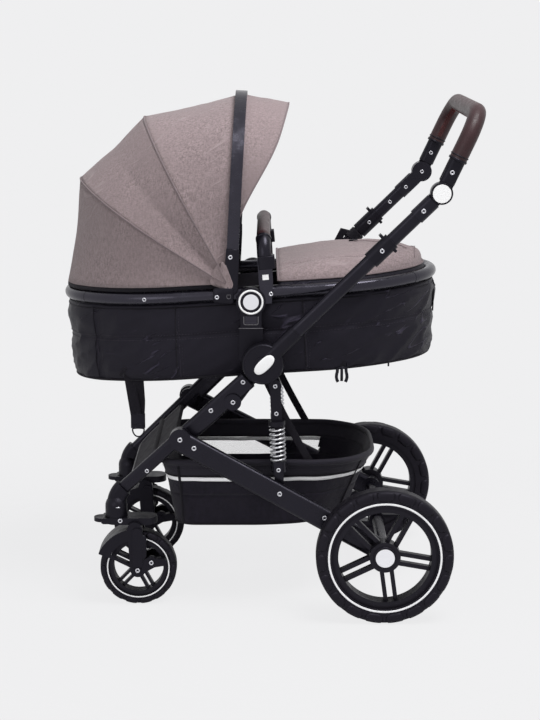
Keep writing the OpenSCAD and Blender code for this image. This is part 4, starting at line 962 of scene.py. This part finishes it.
for side, word in SIDES:
    rows = [[bow_spot(p * grow + (1 - grow) * 50, q * grow, side * y) for p, q in BRACKET]
            for grow, y in BRACKET_ROWS]
    tongue = [bow_spot(p, q, side * 213.2) for p, q in TONGUE]
    piece("bow_bracket_" + word, [shut(rows), tube(tongue, oval(2.2, 1.8, 6))], PLASTIC, "hood_front")
    nose = shut([[nose_spot(side, a, q, sink) for a in NOSE_TURN] for q, sink in NOSE_ROWS])
    piece("hood_end_" + word, [nose], TAUPE, "cot")
    hem = [nose_spot(side, a, 0.78, -0.5) for a in range(-95, 86, 10)]
    seams = [tube([nose_spot(side, a, q, -0.6) for q in (0.1, 0.4, 0.7, 1.0)], oval(2.4, 2.0, 6))
             for a in (115, 154)]
    piece("hood_end_seams_" + word, cot_stitch_line(hem, 4.0) + seams, TAUPE_DARK, "cot")
    clamp_at = cot(HOOD[0] - 21, side * 207, HOOD[1] - 13)
    rows = [shifted(clamp_at, CLAMP, side * lift, grow) for grow, lift in CLAMP_ROWS]
    piece("rail_clamp_" + word, [shut(rows)], PLASTIC, "cot")
    mark = shifted(clamp_at, BUTTON_MARK, side * CLAMP_ROWS[-1][1])
    piece("clamp_button_" + word, [tube(mark, oval(1.3, 1.1, 6))], LOCK_GREY, "cot")
    clip_low, clip_high = Vector(cot(41, side * BUMPER_MID, 53)), Vector(cot(40, side * BUMPER_MID, 80))
    clip_line = [clip_low.lerp(clip_high, k) for k in (0, 0.06, 0.5, 0.94, 1)]
    piece("bumper_cap_" + word, [tube(clip_line, band(35, 31, 0.12), up=ACROSS)], PLASTIC, "cot")

# Apron
APRON_FROM, APRON_EDGE, APRON_CROWN, APRON_IN, APRON_T = 62, 6, 50, 15, 3.4
RAIL_TOP = 13.3
APRON_HEM = RAIL_TOP + APRON_EDGE


def apron_half(x, inset):
    """Half of the width inside the rail at a place along it."""
    w, e, r = RAIL_W - inset, RAIL_E - inset, RAIL_R - inset
    big, turn = side_arc(w, e, r)
    if x < RAIL_S:
        return w
    if x < RAIL_S + big * cosd(turn):
        return w - big + math.sqrt(big * big - (x - RAIL_S) ** 2)
    return math.sqrt(max(0, r * r - (x - RAIL_S - e + r) ** 2))


APRON_LEN = RAIL_S + RAIL_E - APRON_IN - 3 - APRON_FROM


def apron_seam(u):
    """How far from the middle the long seam runs."""
    return lerp(128, 70, u ** 2)


def apron_point(u, v):
    """A point of the crowned apron, u along it and v across it."""
    x = APRON_FROM + APRON_LEN * sind(90 * u)
    swell = lerp(0.68, 1, sind(90 * min(1, 3 * u)))
    swell *= max(0, 1 - u ** 2.5) ** 0.62 * max(0, 1 - abs(v) ** 3.2) ** 0.62
    y = v * apron_half(x, APRON_IN)
    seam = min(abs(abs(y) - apron_seam(u)), abs(x - 300))
    dent = -1.6 * math.exp(-(seam / 4.5) ** 2)
    fold = 0.55 - abs(ripple((x * 0.7 + y * 0.3, y * 0.6, 0), 38, 9.0))
    soft = ripple((x, y, 0), 55, 3.0) * 2.6 + fold * lerp(2.4, 5.5, u)
    return x, y, APRON_HEM + APRON_CROWN * swell + (dent + soft) * smooth(swell * 2.4)


APRON_U, APRON_V = 44, 60
across_apron = [sind(90 * (2 * j / APRON_V - 1)) for j in range(APRON_V + 1)]
apron_rows = [[cot(*apron_point(0.992 * i / APRON_U, v)) for v in across_apron] for i in range(APRON_U + 1)]
UNDER_APRON = cot(220, 0, -200)
apron = piece("apron_cover", [sheet_of(apron_rows)], TAUPE, "cot", solid=APRON_T, away=UNDER_APRON,
              inside=BLACK_LINING)
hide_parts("apron")


def apron_line(inset, z, count=110):
    """A line round the foot end beside the rail."""
    pts = [(APRON_FROM, RAIL_W - inset)] + arch(RAIL_W - inset, RAIL_S, RAIL_E - inset, RAIL_R - inset)
    pts += [(APRON_FROM, inset - RAIL_W)]
    return [cot(p.x, p.y, z) for p in resample([(x, y, 0) for x, y in pts], count)]


SKIRT = ((16.5, APRON_HEM + 1.5), (13.6, 15.5), (11.5, 11.0), (10.5, 7.6))
skirt_rows = [apron_line(inset, z) for inset, z in SKIRT]
apron_skirt = piece("apron_skirt", [sheet_of(skirt_rows)], BLACK_CLOTH, "cot", solid=1.6, away=UNDER_APRON)
front_edge = [cot(*apron_point(0, v)) for v in across_apron]
piece("apron_piping", [tube(apron_line(14.4, APRON_HEM + 0.6), oval(3.4, 3.4, 8)),
                       tube(front_edge, oval(5.0, 5.0, 8))], TAUPE_DARK, "cot")
apron_threads = []
for side, _ in SIDES:
    line = []
    for i in range(3, 34):
        u = i / APRON_U
        half = apron_half(APRON_FROM + APRON_LEN * sind(90 * u), APRON_IN)
        px, py, pz = apron_point(u, side * min(0.97, apron_seam(u) / half))
        line.append(cot(px, py, pz + 0.6))
    apron_threads += cot_stitch_line(line, 5.0)
piece("apron_stitches", apron_threads, TAUPE_DARK, "cot")
foot_seam = [apron_point(0.82 - 0.05 * abs(v / 10), v / 10) for v in range(-9, 10)]
side_seam = [apron_point(lerp(0.36, 0.7, v / 10), lerp(0.05, -0.55, (v / 10) ** 2)) for v in range(11)]
piece("apron_seams", [tube([Vector(cot(*p)) + Vector((0, 0, 2.2)) for p in line], oval(1.8, 1.6, 6))
                      for line in (foot_seam, side_seam)], TAUPE_DARK, "cot")
tab_at = Vector(apron_point(0.36, 0.1))
tab_line = [cot(*(tab_at + Vector(step))) for step in ((-9, 0, 1.8), (0, -1, 2.6), (10, -2, 2.0))]
piece("apron_tab", [tube(tab_line, band(12, 2.2), up=UP)], WEBBING, "cot")

# Basket
BK_FRONT, BK_BACK, BK_FRONT_LOW, BK_BACK_LOW = -233.7, 230.4, -204.6, 174.4
BK_W, BK_DRAW, BK_RIM, BK_FLOOR = 184, 12, 328, 174
BK_COUNT, BK_FRONT_R, BK_BACK_R = 240, 46, 130
BAND_T, NET_T, FLOOR_T = 0.80, 0.5, 0.02
BK_POSTS = ((-196, -181), (-196, 181), (196, -120), (196, 120))
IN_BASKET = (0, 0, 250)


def tray(x0, x1, w, r0, r1):
    """A plan line of the basket from the middle of its +Y side."""
    pts = []
    for cx, cy, r, start in ((x1 - r1, w - r1, r1, 90), (x1 - r1, r1 - w, r1, 0),
                             (x0 + r0, r0 - w, r0, -90), (x0 + r0, w - r0, r0, 180)):
        pts += [(cx + r * cosd(start - 9 * i), cy + r * sind(start - 9 * i), 0) for i in range(11)]
    mid = (lerp(x0, x1, 0.45), w, 0)
    return resample([mid] + pts, BK_COUNT, True)


def basket_ring(t, inset, out=0.0):
    """A ring of slack cloth, t from the floor to under the rim."""
    z = lerp(BK_FLOOR, BK_RIM - 12, t)
    pts = tray(lerp(BK_FRONT_LOW, BK_FRONT, t) + inset, lerp(BK_BACK_LOW, BK_BACK, t) - inset,
               lerp(BK_W - BK_DRAW, BK_W - 3, t) - inset, BK_FRONT_R - inset, BK_BACK_R - inset)
    row = []
    for p, (nx, ny) in zip(pts, outward([(p.x, p.y) for p in pts])):
        loose = math.sin(math.pi * min(1, max(0, t))) * (1 + 0.4 * smooth(abs(p.y) / 170))
        sway = ripple((p.x, p.y, z), 70, 4.0) * 3.4 + ripple((p.x * 1.3, p.y, z * 0.5), 30, 8.0) * 1.4
        d = out + sway * loose - 2.5 * loose
        rise = 9 * smooth((p.x + 40) / 220) * (1 - t)
        row.append((p.x + nx * d, p.y + ny * d, z + rise))
    return row


def basket_wall(name, t0, t1, mat, keep=None, steps=8, out=0.0, solid=1.6):
    """A strip of the basket's wall, of the faces that keep lets stay."""
    rows = [basket_ring(lerp(t0, t1, i / steps), 1.0, out) for i in range(steps + 1)]
    points, faces = sheet_of(rows, loop=True)
    if keep is not None:
        faces = [f for f in faces if keep(*(sum(points[k][axis] for k in f) / 4 for axis in (0, 1)))]
    return piece(name, [(points, faces)], mat, None, solid=solid, away=IN_BASKET)


def is_window(x, y):
    return y > 150 and -205 < x < 120


basket_band = basket_wall("basket_band", BAND_T, 1.0, BASKET, steps=5, out=0.6)
basket_mesh_wall = basket_wall("basket_mesh_wall", NET_T, BAND_T, NET, lambda x, y: not is_window(x, y))
basket_window = basket_wall("basket_window", NET_T, BAND_T, OPEN_NET, keep=is_window, solid=0.6)
basket_low = basket_wall("basket_lower_wall", FLOOR_T, NET_T, NET)
floor_under = [basket_ring(0.0, inset) for inset in (9, 60, 120)]
floor_over = [[(x, y, z + 3.2) for x, y, z in row] for row in floor_under[::-1]]
basket_floor = piece("basket_floor", [sheet_of(floor_under + floor_over, loop=True)], BASKET, None)
rim_line = tray(BK_FRONT - 1, BK_BACK + 1, BK_W - 1.5, BK_FRONT_R, BK_BACK_R)
rim_path = [(p.x, p.y, BK_RIM - 7.5 + ripple((p.x, p.y, 0), 60, 1.0) * 0.8) for p in rim_line]
basket_rim = piece("basket_rim", [tube(rim_path, oval(9.5, 15, 12), up=UP, closed=True)], BASKET, None)
stripe_rows = [[(x, y, z + ripple((x, y, 0), 45, 6.0) * 1.2) for x, y, z in basket_ring(t, 1.0, 1.0)]
               for t in (0.725, 0.755, 0.785)]
basket_stripe = piece("basket_stripe", [sheet_of(stripe_rows, loop=True)], STRIPE, None, solid=0.8,
                      away=IN_BASKET)
post_js = [min(range(BK_COUNT), key=lambda j: (rim_line[j].x - x) ** 2 + (rim_line[j].y - y) ** 2)
           for x, y in BK_POSTS]
binding = [tube(basket_ring(t, 0.6), oval(3.4, 3.4, 6), closed=True) for t in (BAND_T, 0.03)]
binding += [tube([basket_ring(t, 0.2)[j] for t in (FLOOR_T, 0.2, 0.4, 0.6, 0.8, 1.0)], oval(7, 3, 8), up=UP)
            for j in post_js]
basket_binding = piece("basket_binding", binding, WEBBING, None)
rim_thread = []
for drop in (16, 24):
    line = basket_ring(1 - (drop - 12) / 142, 0.0, 1.0)
    rim_thread += cot_stitch_line(line + line[:1], 6.0)
basket_threads = piece("basket_stitches", rim_thread, SEAM, None)
for soft in (basket_band, basket_mesh_wall, basket_window, basket_low, basket_floor, basket_rim,
             basket_stripe, basket_binding, basket_threads):
    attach(soft, "chassis")
    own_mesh(soft)
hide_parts("basket")
for side, word in SIDES:
    top, low = Vector((-8, side * 190.5, 512)), Vector((88, side * 181, 324))
    path = [top.lerp(low, i / 12) + Vector((0, 0, -5 * math.sin(math.pi * i / 12))) for i in range(13)]
    piece("basket_strap_" + word, [tube(path, band(16, 1.8), up=ACROSS)], WEBBING, "chassis")

# Springs
STRUT_TOP, STRUT_WAY = (14.4, 497.0), (0.04216, -0.99911)
STRUT_Y = (204.3 + 217) / 2
SPRING_FROM, SPRING_LEN, SPRING_R, SPRING_WIRE, SPRING_TURNS = 86, 78, 15.4, 4.2, 8
SPRING_STEPS, SPRING_TRAVEL = SPRING_TURNS * 24, 12


def on_strut(along, side):
    """A point down the line of a strut."""
    x, z = (top + along * way for top, way in zip(STRUT_TOP, STRUT_WAY))
    return Vector((x, side * STRUT_Y, z))


def coil_rise(t):
    """The share of the coil's height at a share of its turns; the end turns lie flatter."""
    flat = t
    if t < 0.25:
        flat = smooth(t * 4) * t
    elif t > 0.75:
        flat = 1 - smooth((1 - t) * 4) * (1 - t)
    return lerp(t, flat, 0.15)


for side, word in SIDES:
    axis = on_strut(1, side) - on_strut(0, side)
    across = Vector((axis.z, 0, -axis.x)).normalized()
    third = axis.cross(across)
    path = []
    for i in range(SPRING_STEPS + 1):
        a = 360 * SPRING_TURNS * i / SPRING_STEPS
        rise = (SPRING_LEN - SPRING_WIRE - 0.6) * coil_rise(i / SPRING_STEPS)
        along = SPRING_FROM + 0.3 + SPRING_WIRE / 2 + rise
        path.append(on_strut(along, side) + (across * cosd(a) + third * sind(a)) * SPRING_R)
    wire = tube(path, oval(SPRING_WIRE, SPRING_WIRE, 10))
    coil = piece("coil_spring_" + word, [wire], SPRING, "strut_" + word)
    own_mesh(coil)
    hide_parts("spring_" + word)

# Wheels: axle, track, width, diameter, stripe radii, tread blocks and how far these reach inwards
REAR_AXLE, FRONT_AXLE = (246.4, 146.0), (-284.6, 83.5)
REAR_TRACK, FRONT_TRACK = 288, 167
WHEELS = (("rear_wheel_", REAR_AXLE, REAR_TRACK, 44, 292, (116.6, 120.8), 19, 1.0),
          ("front_wheel_", FRONT_AXLE, FRONT_TRACK, 36, 167, (65.8, 68.6), 15, 0.42))
LUG_STEPS = 7
LUG_LEANS = (-26, -14, 2, 18, 34, 50, 62)


def tread(axle, middle, width, wheel, count, reach):
    """Rubber blocks round both shoulders of a tyre."""
    shoulder = width / 4
    blocks = []
    for face in (-1, 1):
        for k in range(count):
            rows = []
            for i in range(LUG_STEPS + 1):
                a = 360 / count * (k + 0.25 * face) + lerp(-0.44, 0.44, i / LUG_STEPS) * 360 / count
                round_end = math.sqrt(1 - min(1, abs(2 * i / LUG_STEPS - 1)) ** 4)
                rows.append([])
                for j, lean in enumerate(LUG_LEANS):
                    lean = 18 + (lean - 18) * (0.55 + 0.45 * round_end)
                    raised = 0 < i < LUG_STEPS and 0 < j < len(LUG_LEANS) - 1
                    bulge = shoulder + (1.7 if raised else -0.4)
                    rise = bulge * sind(lean) if lean > 0 else shoulder * reach * lean / 26
                    r = wheel / 2 - shoulder + rise
                    y = middle + face * (width / 2 - shoulder + bulge * (cosd(lean) if lean > 0 else 1))
                    rows[-1].append((axle[0] + r * cosd(a), y, axle[1] + r * sind(a)))
            blocks.append(sheet_of(rows))
    return blocks


for side, word in SIDES:
    for prefix, axle, track, width, wheel, stripe, count, reach in WHEELS:
        faces = (side,) if track == REAR_TRACK else (-1, 1)
        spots = [(axle[0], side * track + face * (width / 2 - 0.1), axle[1]) for face in faces]
        rings = [ring(*stripe, 0.7, spot, (0, face, 0), 96) for spot, face in zip(spots, faces)]
        piece(prefix + "stripe_" + word, rings, STRIPE, prefix + word)
        blocks = tread(axle, side * track, width, wheel, count, reach)
        piece(prefix + "tread_" + word, blocks, RUBBER, prefix + word, solid=0.5)
    cap_at = (REAR_AXLE[0], side * (REAR_TRACK + 17), REAR_AXLE[1])
    cap = ring(20.4, 24.5, 3.0, cap_at, (0, side, 0), 48)
    piece("rear_hub_ring_" + word, [cap], RIM, "rear_wheel_" + word)

# Screws, caps and rings
HANDLE_ALONG, HANDLE_UP = Vector((0.7157, 0, 0.6984)), Vector((-0.6984, 0, 0.7157))
HINGE, HUB, TILT = (-11.6, 550.0), (-36.6, 678.0), (356.27, 908.99)
HUB_FACE, HINGE_FACE, OVAL_FACE, TILT_FACE = 217.05, 245.9, 247.0, 247.9
FORK_FACE, POST_FACE = FRONT_TRACK + 34, 217.2
SCREWS = ((("rear_leg", "front_leg"), "rear_frame",
           ((-188.5, 380.9), (-158.6, 363.0), (24.1, 266.1), (120.4, 215.0)), 5.4),
          (("front_leg", "hinge_bracket"), "front_frame",
           ((-53.6, 507.0), (-75.1, 463.0), (-122.6, 442.0)), 5.2),
          (("strut_tube", "hinge_bracket"), "strut_", (STRUT_TOP, (17.0, 437.0)), 4.8),
          (("strut_rod",), "strut_rod_", ((21.6, 316.0),), 4.8),
          (("handle_tube",), "handle", ((319.4, 873.0),), 5.0),
          (("fold_slider",), "slider_", ((235.0, 790.6),), 5.0),
          (("grip_bracket",), "grip", ((376.5, 952.4),), 5.0),
          (("front_leg", "caster_housing"), "front_frame", ((-262.6, 302.0),), 4.8),
          (("cot_rail",), "cot", ((-262.0, 679.2), (155.0, 704.0), (5.5, 695.0)), 4.6),
          (("caster_fork",), "caster_", (FRONT_AXLE, (-254.6, 101.0), (-321.6, 192.0)), 5.2))
INNER_SCREWS = ((("handle_tube",), "handle", ((319.4, 873.0), (356.3, 909.0), (283.0, 838.0)), 4.6),
                (("grip_bracket",), "grip", ((376.5, 952.4),), 4.6),
                (("fold_slider",), "slider_", ((235.0, 790.6),), 4.6),
                (("front_leg",), "front_frame", ((-53.6, 507.0), (-122.6, 442.0)), 4.6))
SILL = ((-15, 7), (-15, -8), (-13, -10), (13, -10), (15, -8), (15, 7))
COVER_TURN = [*range(0, 181, 15), *range(180, 360, 15)]
COVER_ROWS = ((1, -1.0), (1, 1.6), (0.9, 2.4), (0.5, 2.5))
OVAL_ROWS = ((1, -2.5), (1, 0.9), (0.95, 1.5), (0.7, 1.8), (0.02, 1.9))


def fasten(label, groups, side, word, inner):
    """Screw heads, with a dark hexagon of painted shade in each drive, wherever the named nodes have a
    face.
    """
    for stems, body, places, radius in groups:
        names = [stem + "_" + word if stem + "_" + word in NODES else stem for stem in stems]
        spots = [surface(names, x, z, side, inner) for x, z in places]
        spots = [spot for spot in spots if spot is not None]
        if spots:
            rides = body + word if body.endswith("_") else body
            ends = stems[0] + "_" + word
            piece(label + ends, [screw(*spot, radius) for spot in spots], SCREW, rides)
            piece(label + "drive_" + ends, [drive(*spot, radius) for spot in spots], PLASTIC, rides)


def cover_point(a, grow, y):
    """A point of the cover on the leg of a fork."""
    rise = 18 * (1 if sind(a) > 0 else -1) + 11 * sind(a)
    return Vector((-276 + 11 * grow * cosd(a) + 2.2 * grow * sind(a), y, 134 + rise * grow))


def oval_point(a, grow, y):
    """A point of the white oval on the arm of the handle."""
    return (Vector((HINGE[0] + 3, y, HINGE[1]))
            + HANDLE_ALONG * (26 * grow * math.copysign(abs(cosd(a)) ** 0.8, cosd(a)))
            + HANDLE_UP * (12.4 * grow * math.copysign(abs(sind(a)) ** 0.9, sind(a))))


for side, word in SIDES:
    out = (0, side, 0)
    fasten("screws_", SCREWS, side, word, False)
    fasten("inner_screws_", INNER_SCREWS, side, word, True)
    clamp_spot = Vector(cot(HOOD[0] - 30, side * 214.6, HOOD[1] - 15.5))
    for label, at, body in (("hood_bow_", bow_spot(67, 4, side * BOW_FACE), "hood_front"),
                            ("rail_clamp_", clamp_spot, "cot")):
        piece("screws_" + label + word, [screw(at, out, 4.8)], SCREW, body)
        # The dark hexagon in the drive is painted shade in the recess.
        piece("screws_drive_" + label + word, [drive(at, out, 4.8)], PLASTIC, body)
    disc = ring(38.6, 41.6, 1.0, (HINGE[0], side * HINGE_FACE, HINGE[1]), out, 72)
    piece("hinge_disc_ring_" + word, [disc], PLASTIC, "handle")
    # Painted highlight: thin grey lines round the release window and along the adapter stand in for light
    # catching edges of the black plastic.
    spot = Vector((HUB[0], side * POST_FACE, 640.0))
    window_edge_highlight = tube(resample(shifted(spot, SILL), 40), oval(2.4, 2.0, 6))
    piece("adapter_window_highlight_" + word, [window_edge_highlight], LOCK_GREY, "cot")
    line = tube(shifted(spot, ((-26, -18), (0, -18), (26, -18))), oval(1.6, 1.4, 6))
    piece("adapter_line_highlight_" + word, [line], LOCK_GREY, "cot")
    barrel = surface(["caster_housing_" + word, "front_leg_" + word], -326.0, 222.0, side)
    if barrel is not None:
        slot_line = shifted(barrel[0], ((-4.5, 0), (0, 0), (4.5, 0)), side * 0.3)
        piece("barrel_slot_" + word, [tube(slot_line, oval(3.0, 1.4, 8))], SCREW, "front_frame")
    cover = [[cover_point(a, grow, side * (FORK_FACE + lift)) for a in COVER_TURN]
             for grow, lift in COVER_ROWS]
    piece("fork_cover_" + word, [shut(cover)], PLASTIC, "caster_" + word)
    rows = [[oval_point(a, grow, side * (OVAL_FACE + lift)) for a in range(0, 360, 8)]
            for grow, lift in OVAL_ROWS]
    piece("hinge_oval_" + word, [shut(rows)], WHITE, "handle")
    hub_at = (HUB[0], side * HUB_FACE, HUB[1])
    piece("hub_white_ring_" + word, [ring(22.4, 26.4, 1.3, hub_at, out, 64)], WHITE, "cot")
    edges = [ring(27.0, 30.4, 1.0, hub_at, out, 64), ring(16.9, 22.2, 0.9, hub_at, out, 64)]
    piece("hub_edge_ring_" + word, edges, PLASTIC, "cot")
    joint = ring(19.7, 22.6, 1.4, (TILT[0], side * TILT_FACE, TILT[1]), out, 56)
    piece("joint_ring_" + word, [joint], PLASTIC, "grip")

# Grip: collars and laced seam
GRIP_WAY = Vector((0.4226, 0, 0.9063))
GRIP_LEN, GRIP_D, GRIP_R, GRIP_HALF, GRIP_FROM = 179, 37, 62, 236, 74
LACES = 230


def on_grip(along, y):
    return Vector((TILT[0], y, TILT[1])) + GRIP_WAY * along


def collar(wide):
    """The section of a collar that stands proud of the grip."""
    edge = GRIP_D / 2
    return ((edge - 1, 0), (edge + 1.3, 0.6), (edge + 1.5, wide / 2), (edge + 1.3, wide - 0.6),
            (edge - 1, wide))


COLLARS = ((GRIP_FROM - 1, 6.0), (GRIP_FROM + 9, 3.2))
collars = [lathe(collar(wide), on_grip(begin, side * GRIP_HALF), GRIP_WAY, 36)
           for side, _ in SIDES for begin, wide in COLLARS]
piece("grip_collars", collars, PLASTIC, "grip")
grip_line = [on_grip(lerp(GRIP_FROM + 16, GRIP_LEN - GRIP_R, i / 9), -GRIP_HALF) for i in range(9)]
inner = [Vector(ACROSS)] * 9
for i in range(19):
    way = GRIP_WAY * sind(5 * i) + Vector((0, -cosd(5 * i), 0))
    grip_line.append(on_grip(GRIP_LEN - GRIP_R, GRIP_R - GRIP_HALF) + way * GRIP_R)
    inner.append(-way)
for i in range(1, 25):
    grip_line.append(on_grip(GRIP_LEN, lerp(GRIP_R - GRIP_HALF, 0, i / 24)))
    inner.append(-GRIP_WAY)
grip_line += [Vector((p.x, -p.y, p.z)) for p in grip_line[-2::-1]]
inner += [Vector((d.x, -d.y, d.z)) for d in inner[-2::-1]]
seam_line = resample([p + d * (GRIP_D / 2 + 0.1) for p, d in zip(grip_line, inner)], LACES)
seam_in = resample(grip_line, LACES)
lace = []
for i in range(1, LACES - 1):
    way = (seam_line[i + 1] - seam_line[i - 1]).normalized()
    rise = (seam_line[i] - seam_in[i]).normalized()
    across = way.cross(rise).normalized()
    a = seam_line[i] - across * 5.6 - rise * 1.0
    b = seam_line[i] + across * 5.6 + way * 1.2 - rise * 1.0
    lace.append(tube([a, (a + b) / 2 + rise * 1.5, b], oval(1.5, 1.2, 6)))
piece("grip_lacing", lace, STITCH, "grip")
piece("grip_seam", [tube(seam_line, oval(2.2, 1.6, 6))], LEATHER, "grip")

# Bumper sleeves
BUMPER_X, BUMPER_Z, BUMPER_R = 36.5, 116.6, 36
for side, word in SIDES:
    path = [Vector(cot(BUMPER_X, side * BUMPER_MID, 78.4))]
    path += [Vector(cot(BUMPER_X, side * (BUMPER_MID - BUMPER_R * (1 - cosd(a))),
                        BUMPER_Z - BUMPER_R * (1 - sind(a)))) for a in range(0, 61, 6)]
    end_ring = [path[-1].lerp(path[-2], 0.4), path[-1], path[-1] * 2 - path[-2]]
    piece("bumper_sleeve_" + word, [tube(path, oval(30.6, 30.6, 28), up=FORE),
                                    tube(end_ring, oval(33, 33, 28), up=FORE)], TUBE, "bumper")

# Footboard piping
LEG_WAY, LEG_UP = Vector((-0.723, 0, -0.691)), Vector((-0.691, 0, 0.723))
board_line = [(266, 145)] + [(352 + 42 * sind(a), 103 + 42 * cosd(a)) for a in range(0, 91, 10)]
board_line += [(x, -y) for x, y in board_line[::-1]]
board_path = [Vector((HINGE[0], y, HINGE[1])) + LEG_WAY * a + LEG_UP * 4.6 for a, y in board_line]
piece("footboard_piping", [tube(resample(board_path, 90), oval(3.6, 3.6, 8), up=tuple(LEG_UP))], LOCK_GREY,
      "front_frame")

# Straps, ring and buckle on the carrycot
SEAM_SHARES = (0.03, 0.12, 0.22, 0.32, 0.42, 0.52, 0.62, 0.72, 0.82, 0.92, 0.97)
BUCKLE = ((-12, 9), (-12, -4), (12, -4), (12, 9), (-12, 9))
BUCKLE_ARM = ((9, -6), (9.5, -14), (11, -20), (11.4, -26), (10, -32), (8, -36))
STRAP_W = 23


def wall_spot(x, share, side, proud):
    """A point on the plain wall, stood proud of it."""
    px, py, pz = wall_near(x, cot_skin(0.0, [share], swell=False)[0], side)
    return Vector(cot(px, py + side * proud, pz))


def wall_seam(x, side):
    """A line down the padded wall at one place along it."""
    line = []
    for share in SEAM_SHARES:
        px, py, pz = wall_near(x, cot_skin(0.0, [share])[0], side)
        line.append(Vector(cot(x if abs(x) < RAIL_S else px, py + side * 0.2, pz)))
    return resample(line, 30)


for side, word in SIDES:
    seam_xs = (-340, -161, 111)
    grooves = [tube(wall_seam(x, side), oval(2.8, 1.4, 6)) for x in seam_xs]
    piece("cot_seams_" + word, grooves, WEBBING, "cot")
    welts = [tube(wall_seam(x + 3, side), oval(1.2, 1.0, 6)) for x in seam_xs]
    piece("cot_welts_" + word, welts, SEAM, "cot")
    hold = wall_spot(186, 0.93, side, 2.6)
    parts = [tube(resample(shifted(hold, BUCKLE), 40), oval(3.4, 4.4, 8)),
             tube(shifted(hold, ((-12, -5), (12, -5))), band(6, 6), up=ACROSS),
             tube(shifted(hold, ((0, -6), (0, -22), (0, -34))), band(6.2, 5.0), up=ACROSS)]
    parts += [tube(shifted(hold, [(flip * dx, dz) for dx, dz in BUCKLE_ARM]), band(6.8, 5.4), up=ACROSS)
              for flip in (-1, 1)]
    piece("side_buckle_" + word, parts, PLASTIC, "cot")
    loop_line = [hold + Vector((0, side * dy, dz)) for dy, dz in ((0, 24), (1.5, 10), (0, -4))]
    piece("buckle_loop_" + word, [tube(loop_line, band(17, 2.0), up=ACROSS)], WEBBING, "cot")
    hook = wall_spot(292, 0.965, side, 1.5)
    hook_line = [hook + Vector((0, side * dy, dz)) for dy, dz in ((0, 6), (2, -2), (2.5, -9))]
    piece("cot_hook_" + word, [tube(hook_line, oval(4.4, 3.4, 8))], PLASTIC, "cot")

start = wall_spot(-270, 0.77, -1, 1.2)
low = wall_spot(-268, 0.985, -1, 3.0)
path = [start, start.lerp(low, 0.5), low]
path += [low + Vector((2.6 * k, 0.3 * k - 0.5, -17.4 * k)) for k in range(1, 7)]
path = resample(path, 26)
end = path[-1]
strap = piece("hanging_strap", [tube(path, band(STRAP_W, 1.8), up=ACROSS)], WEBBING, "cot")
back_line = [wall_spot(-252, 0.97, -1, -1.0)]
back_line += [end + Vector(step) for step in ((4, 6.0, 58), (2, 4.6, 20), (0, 2.4, 2))]
back = tube(resample(back_line, 16), band(STRAP_W, 1.8), up=ACROSS)
strap_back = piece("strap_back", [back], WEBBING, "cot")
ring_line = [end + Vector((12.6 * cosd(a), 0, (17 if sind(a) < 0 else 2) * sind(a) - 1.5))
             for a in range(0, 360, 10)]
strap_ring = piece("strap_d_ring", [tube(ring_line, oval(3.2, 3.2, 8), closed=True)], PLASTIC, "cot")
slide = [tube([end + Vector((-0.4, 0.8, dz)) for dz in (33, 32, 24, 12, 2, 1)], band(31, 7), up=ACROSS)]
slide += [tube([end + Vector((dx, -3.2, dz)) for dx in (-15.5, 15.5)], oval(wide, thick, 6))
          for dz, wide, thick in ((31, 2.4, 1.6), (9, 2.0, 1.4))]
strap_slide = piece("strap_slider", slide, PLASTIC, "cot")
arch_at = wall_spot(-267, 0.87, -1, 4.6)
arch_line = [arch_at + Vector((20 * cosd(a) + 2, -1.2, 17 * sind(a) - 6)) for a in range(0, 181, 10)]
piece("strap_slot_trim", [tube(arch_line, band(8, 3.2), up=ACROSS)], WEBBING, "cot")
tab_line = shifted(cot(RAIL_S + RAIL_E + 4.6, -22, -22), ((0, 0), (1.5, -8), (1.2, -40), (0.4, -68)))
piece("foot_tab", [tube(tab_line, band(14, 2.0), up=FORE)], WEBBING, "cot")

# A webbing loop stays round the far handle tube
loop_at = Vector((HINGE[0], GRIP_HALF, HINGE[1])) + HANDLE_ALONG * 286
loop_ring = [loop_at + HANDLE_ALONG * k for k in (0, 2, 12, 22, 24)]
loop_end = [loop_at + HANDLE_ALONG * a + HANDLE_UP * b
            for a, b in ((4, 12), (-2, 26), (-20, 20), (-22, -4))]
piece("handle_loop", [tube(loop_ring, oval(33, 35, 24), up=tuple(HANDLE_UP)),
                      tube(loop_end, band(20, 2.2), up=ACROSS)], WEBBING, "handle")
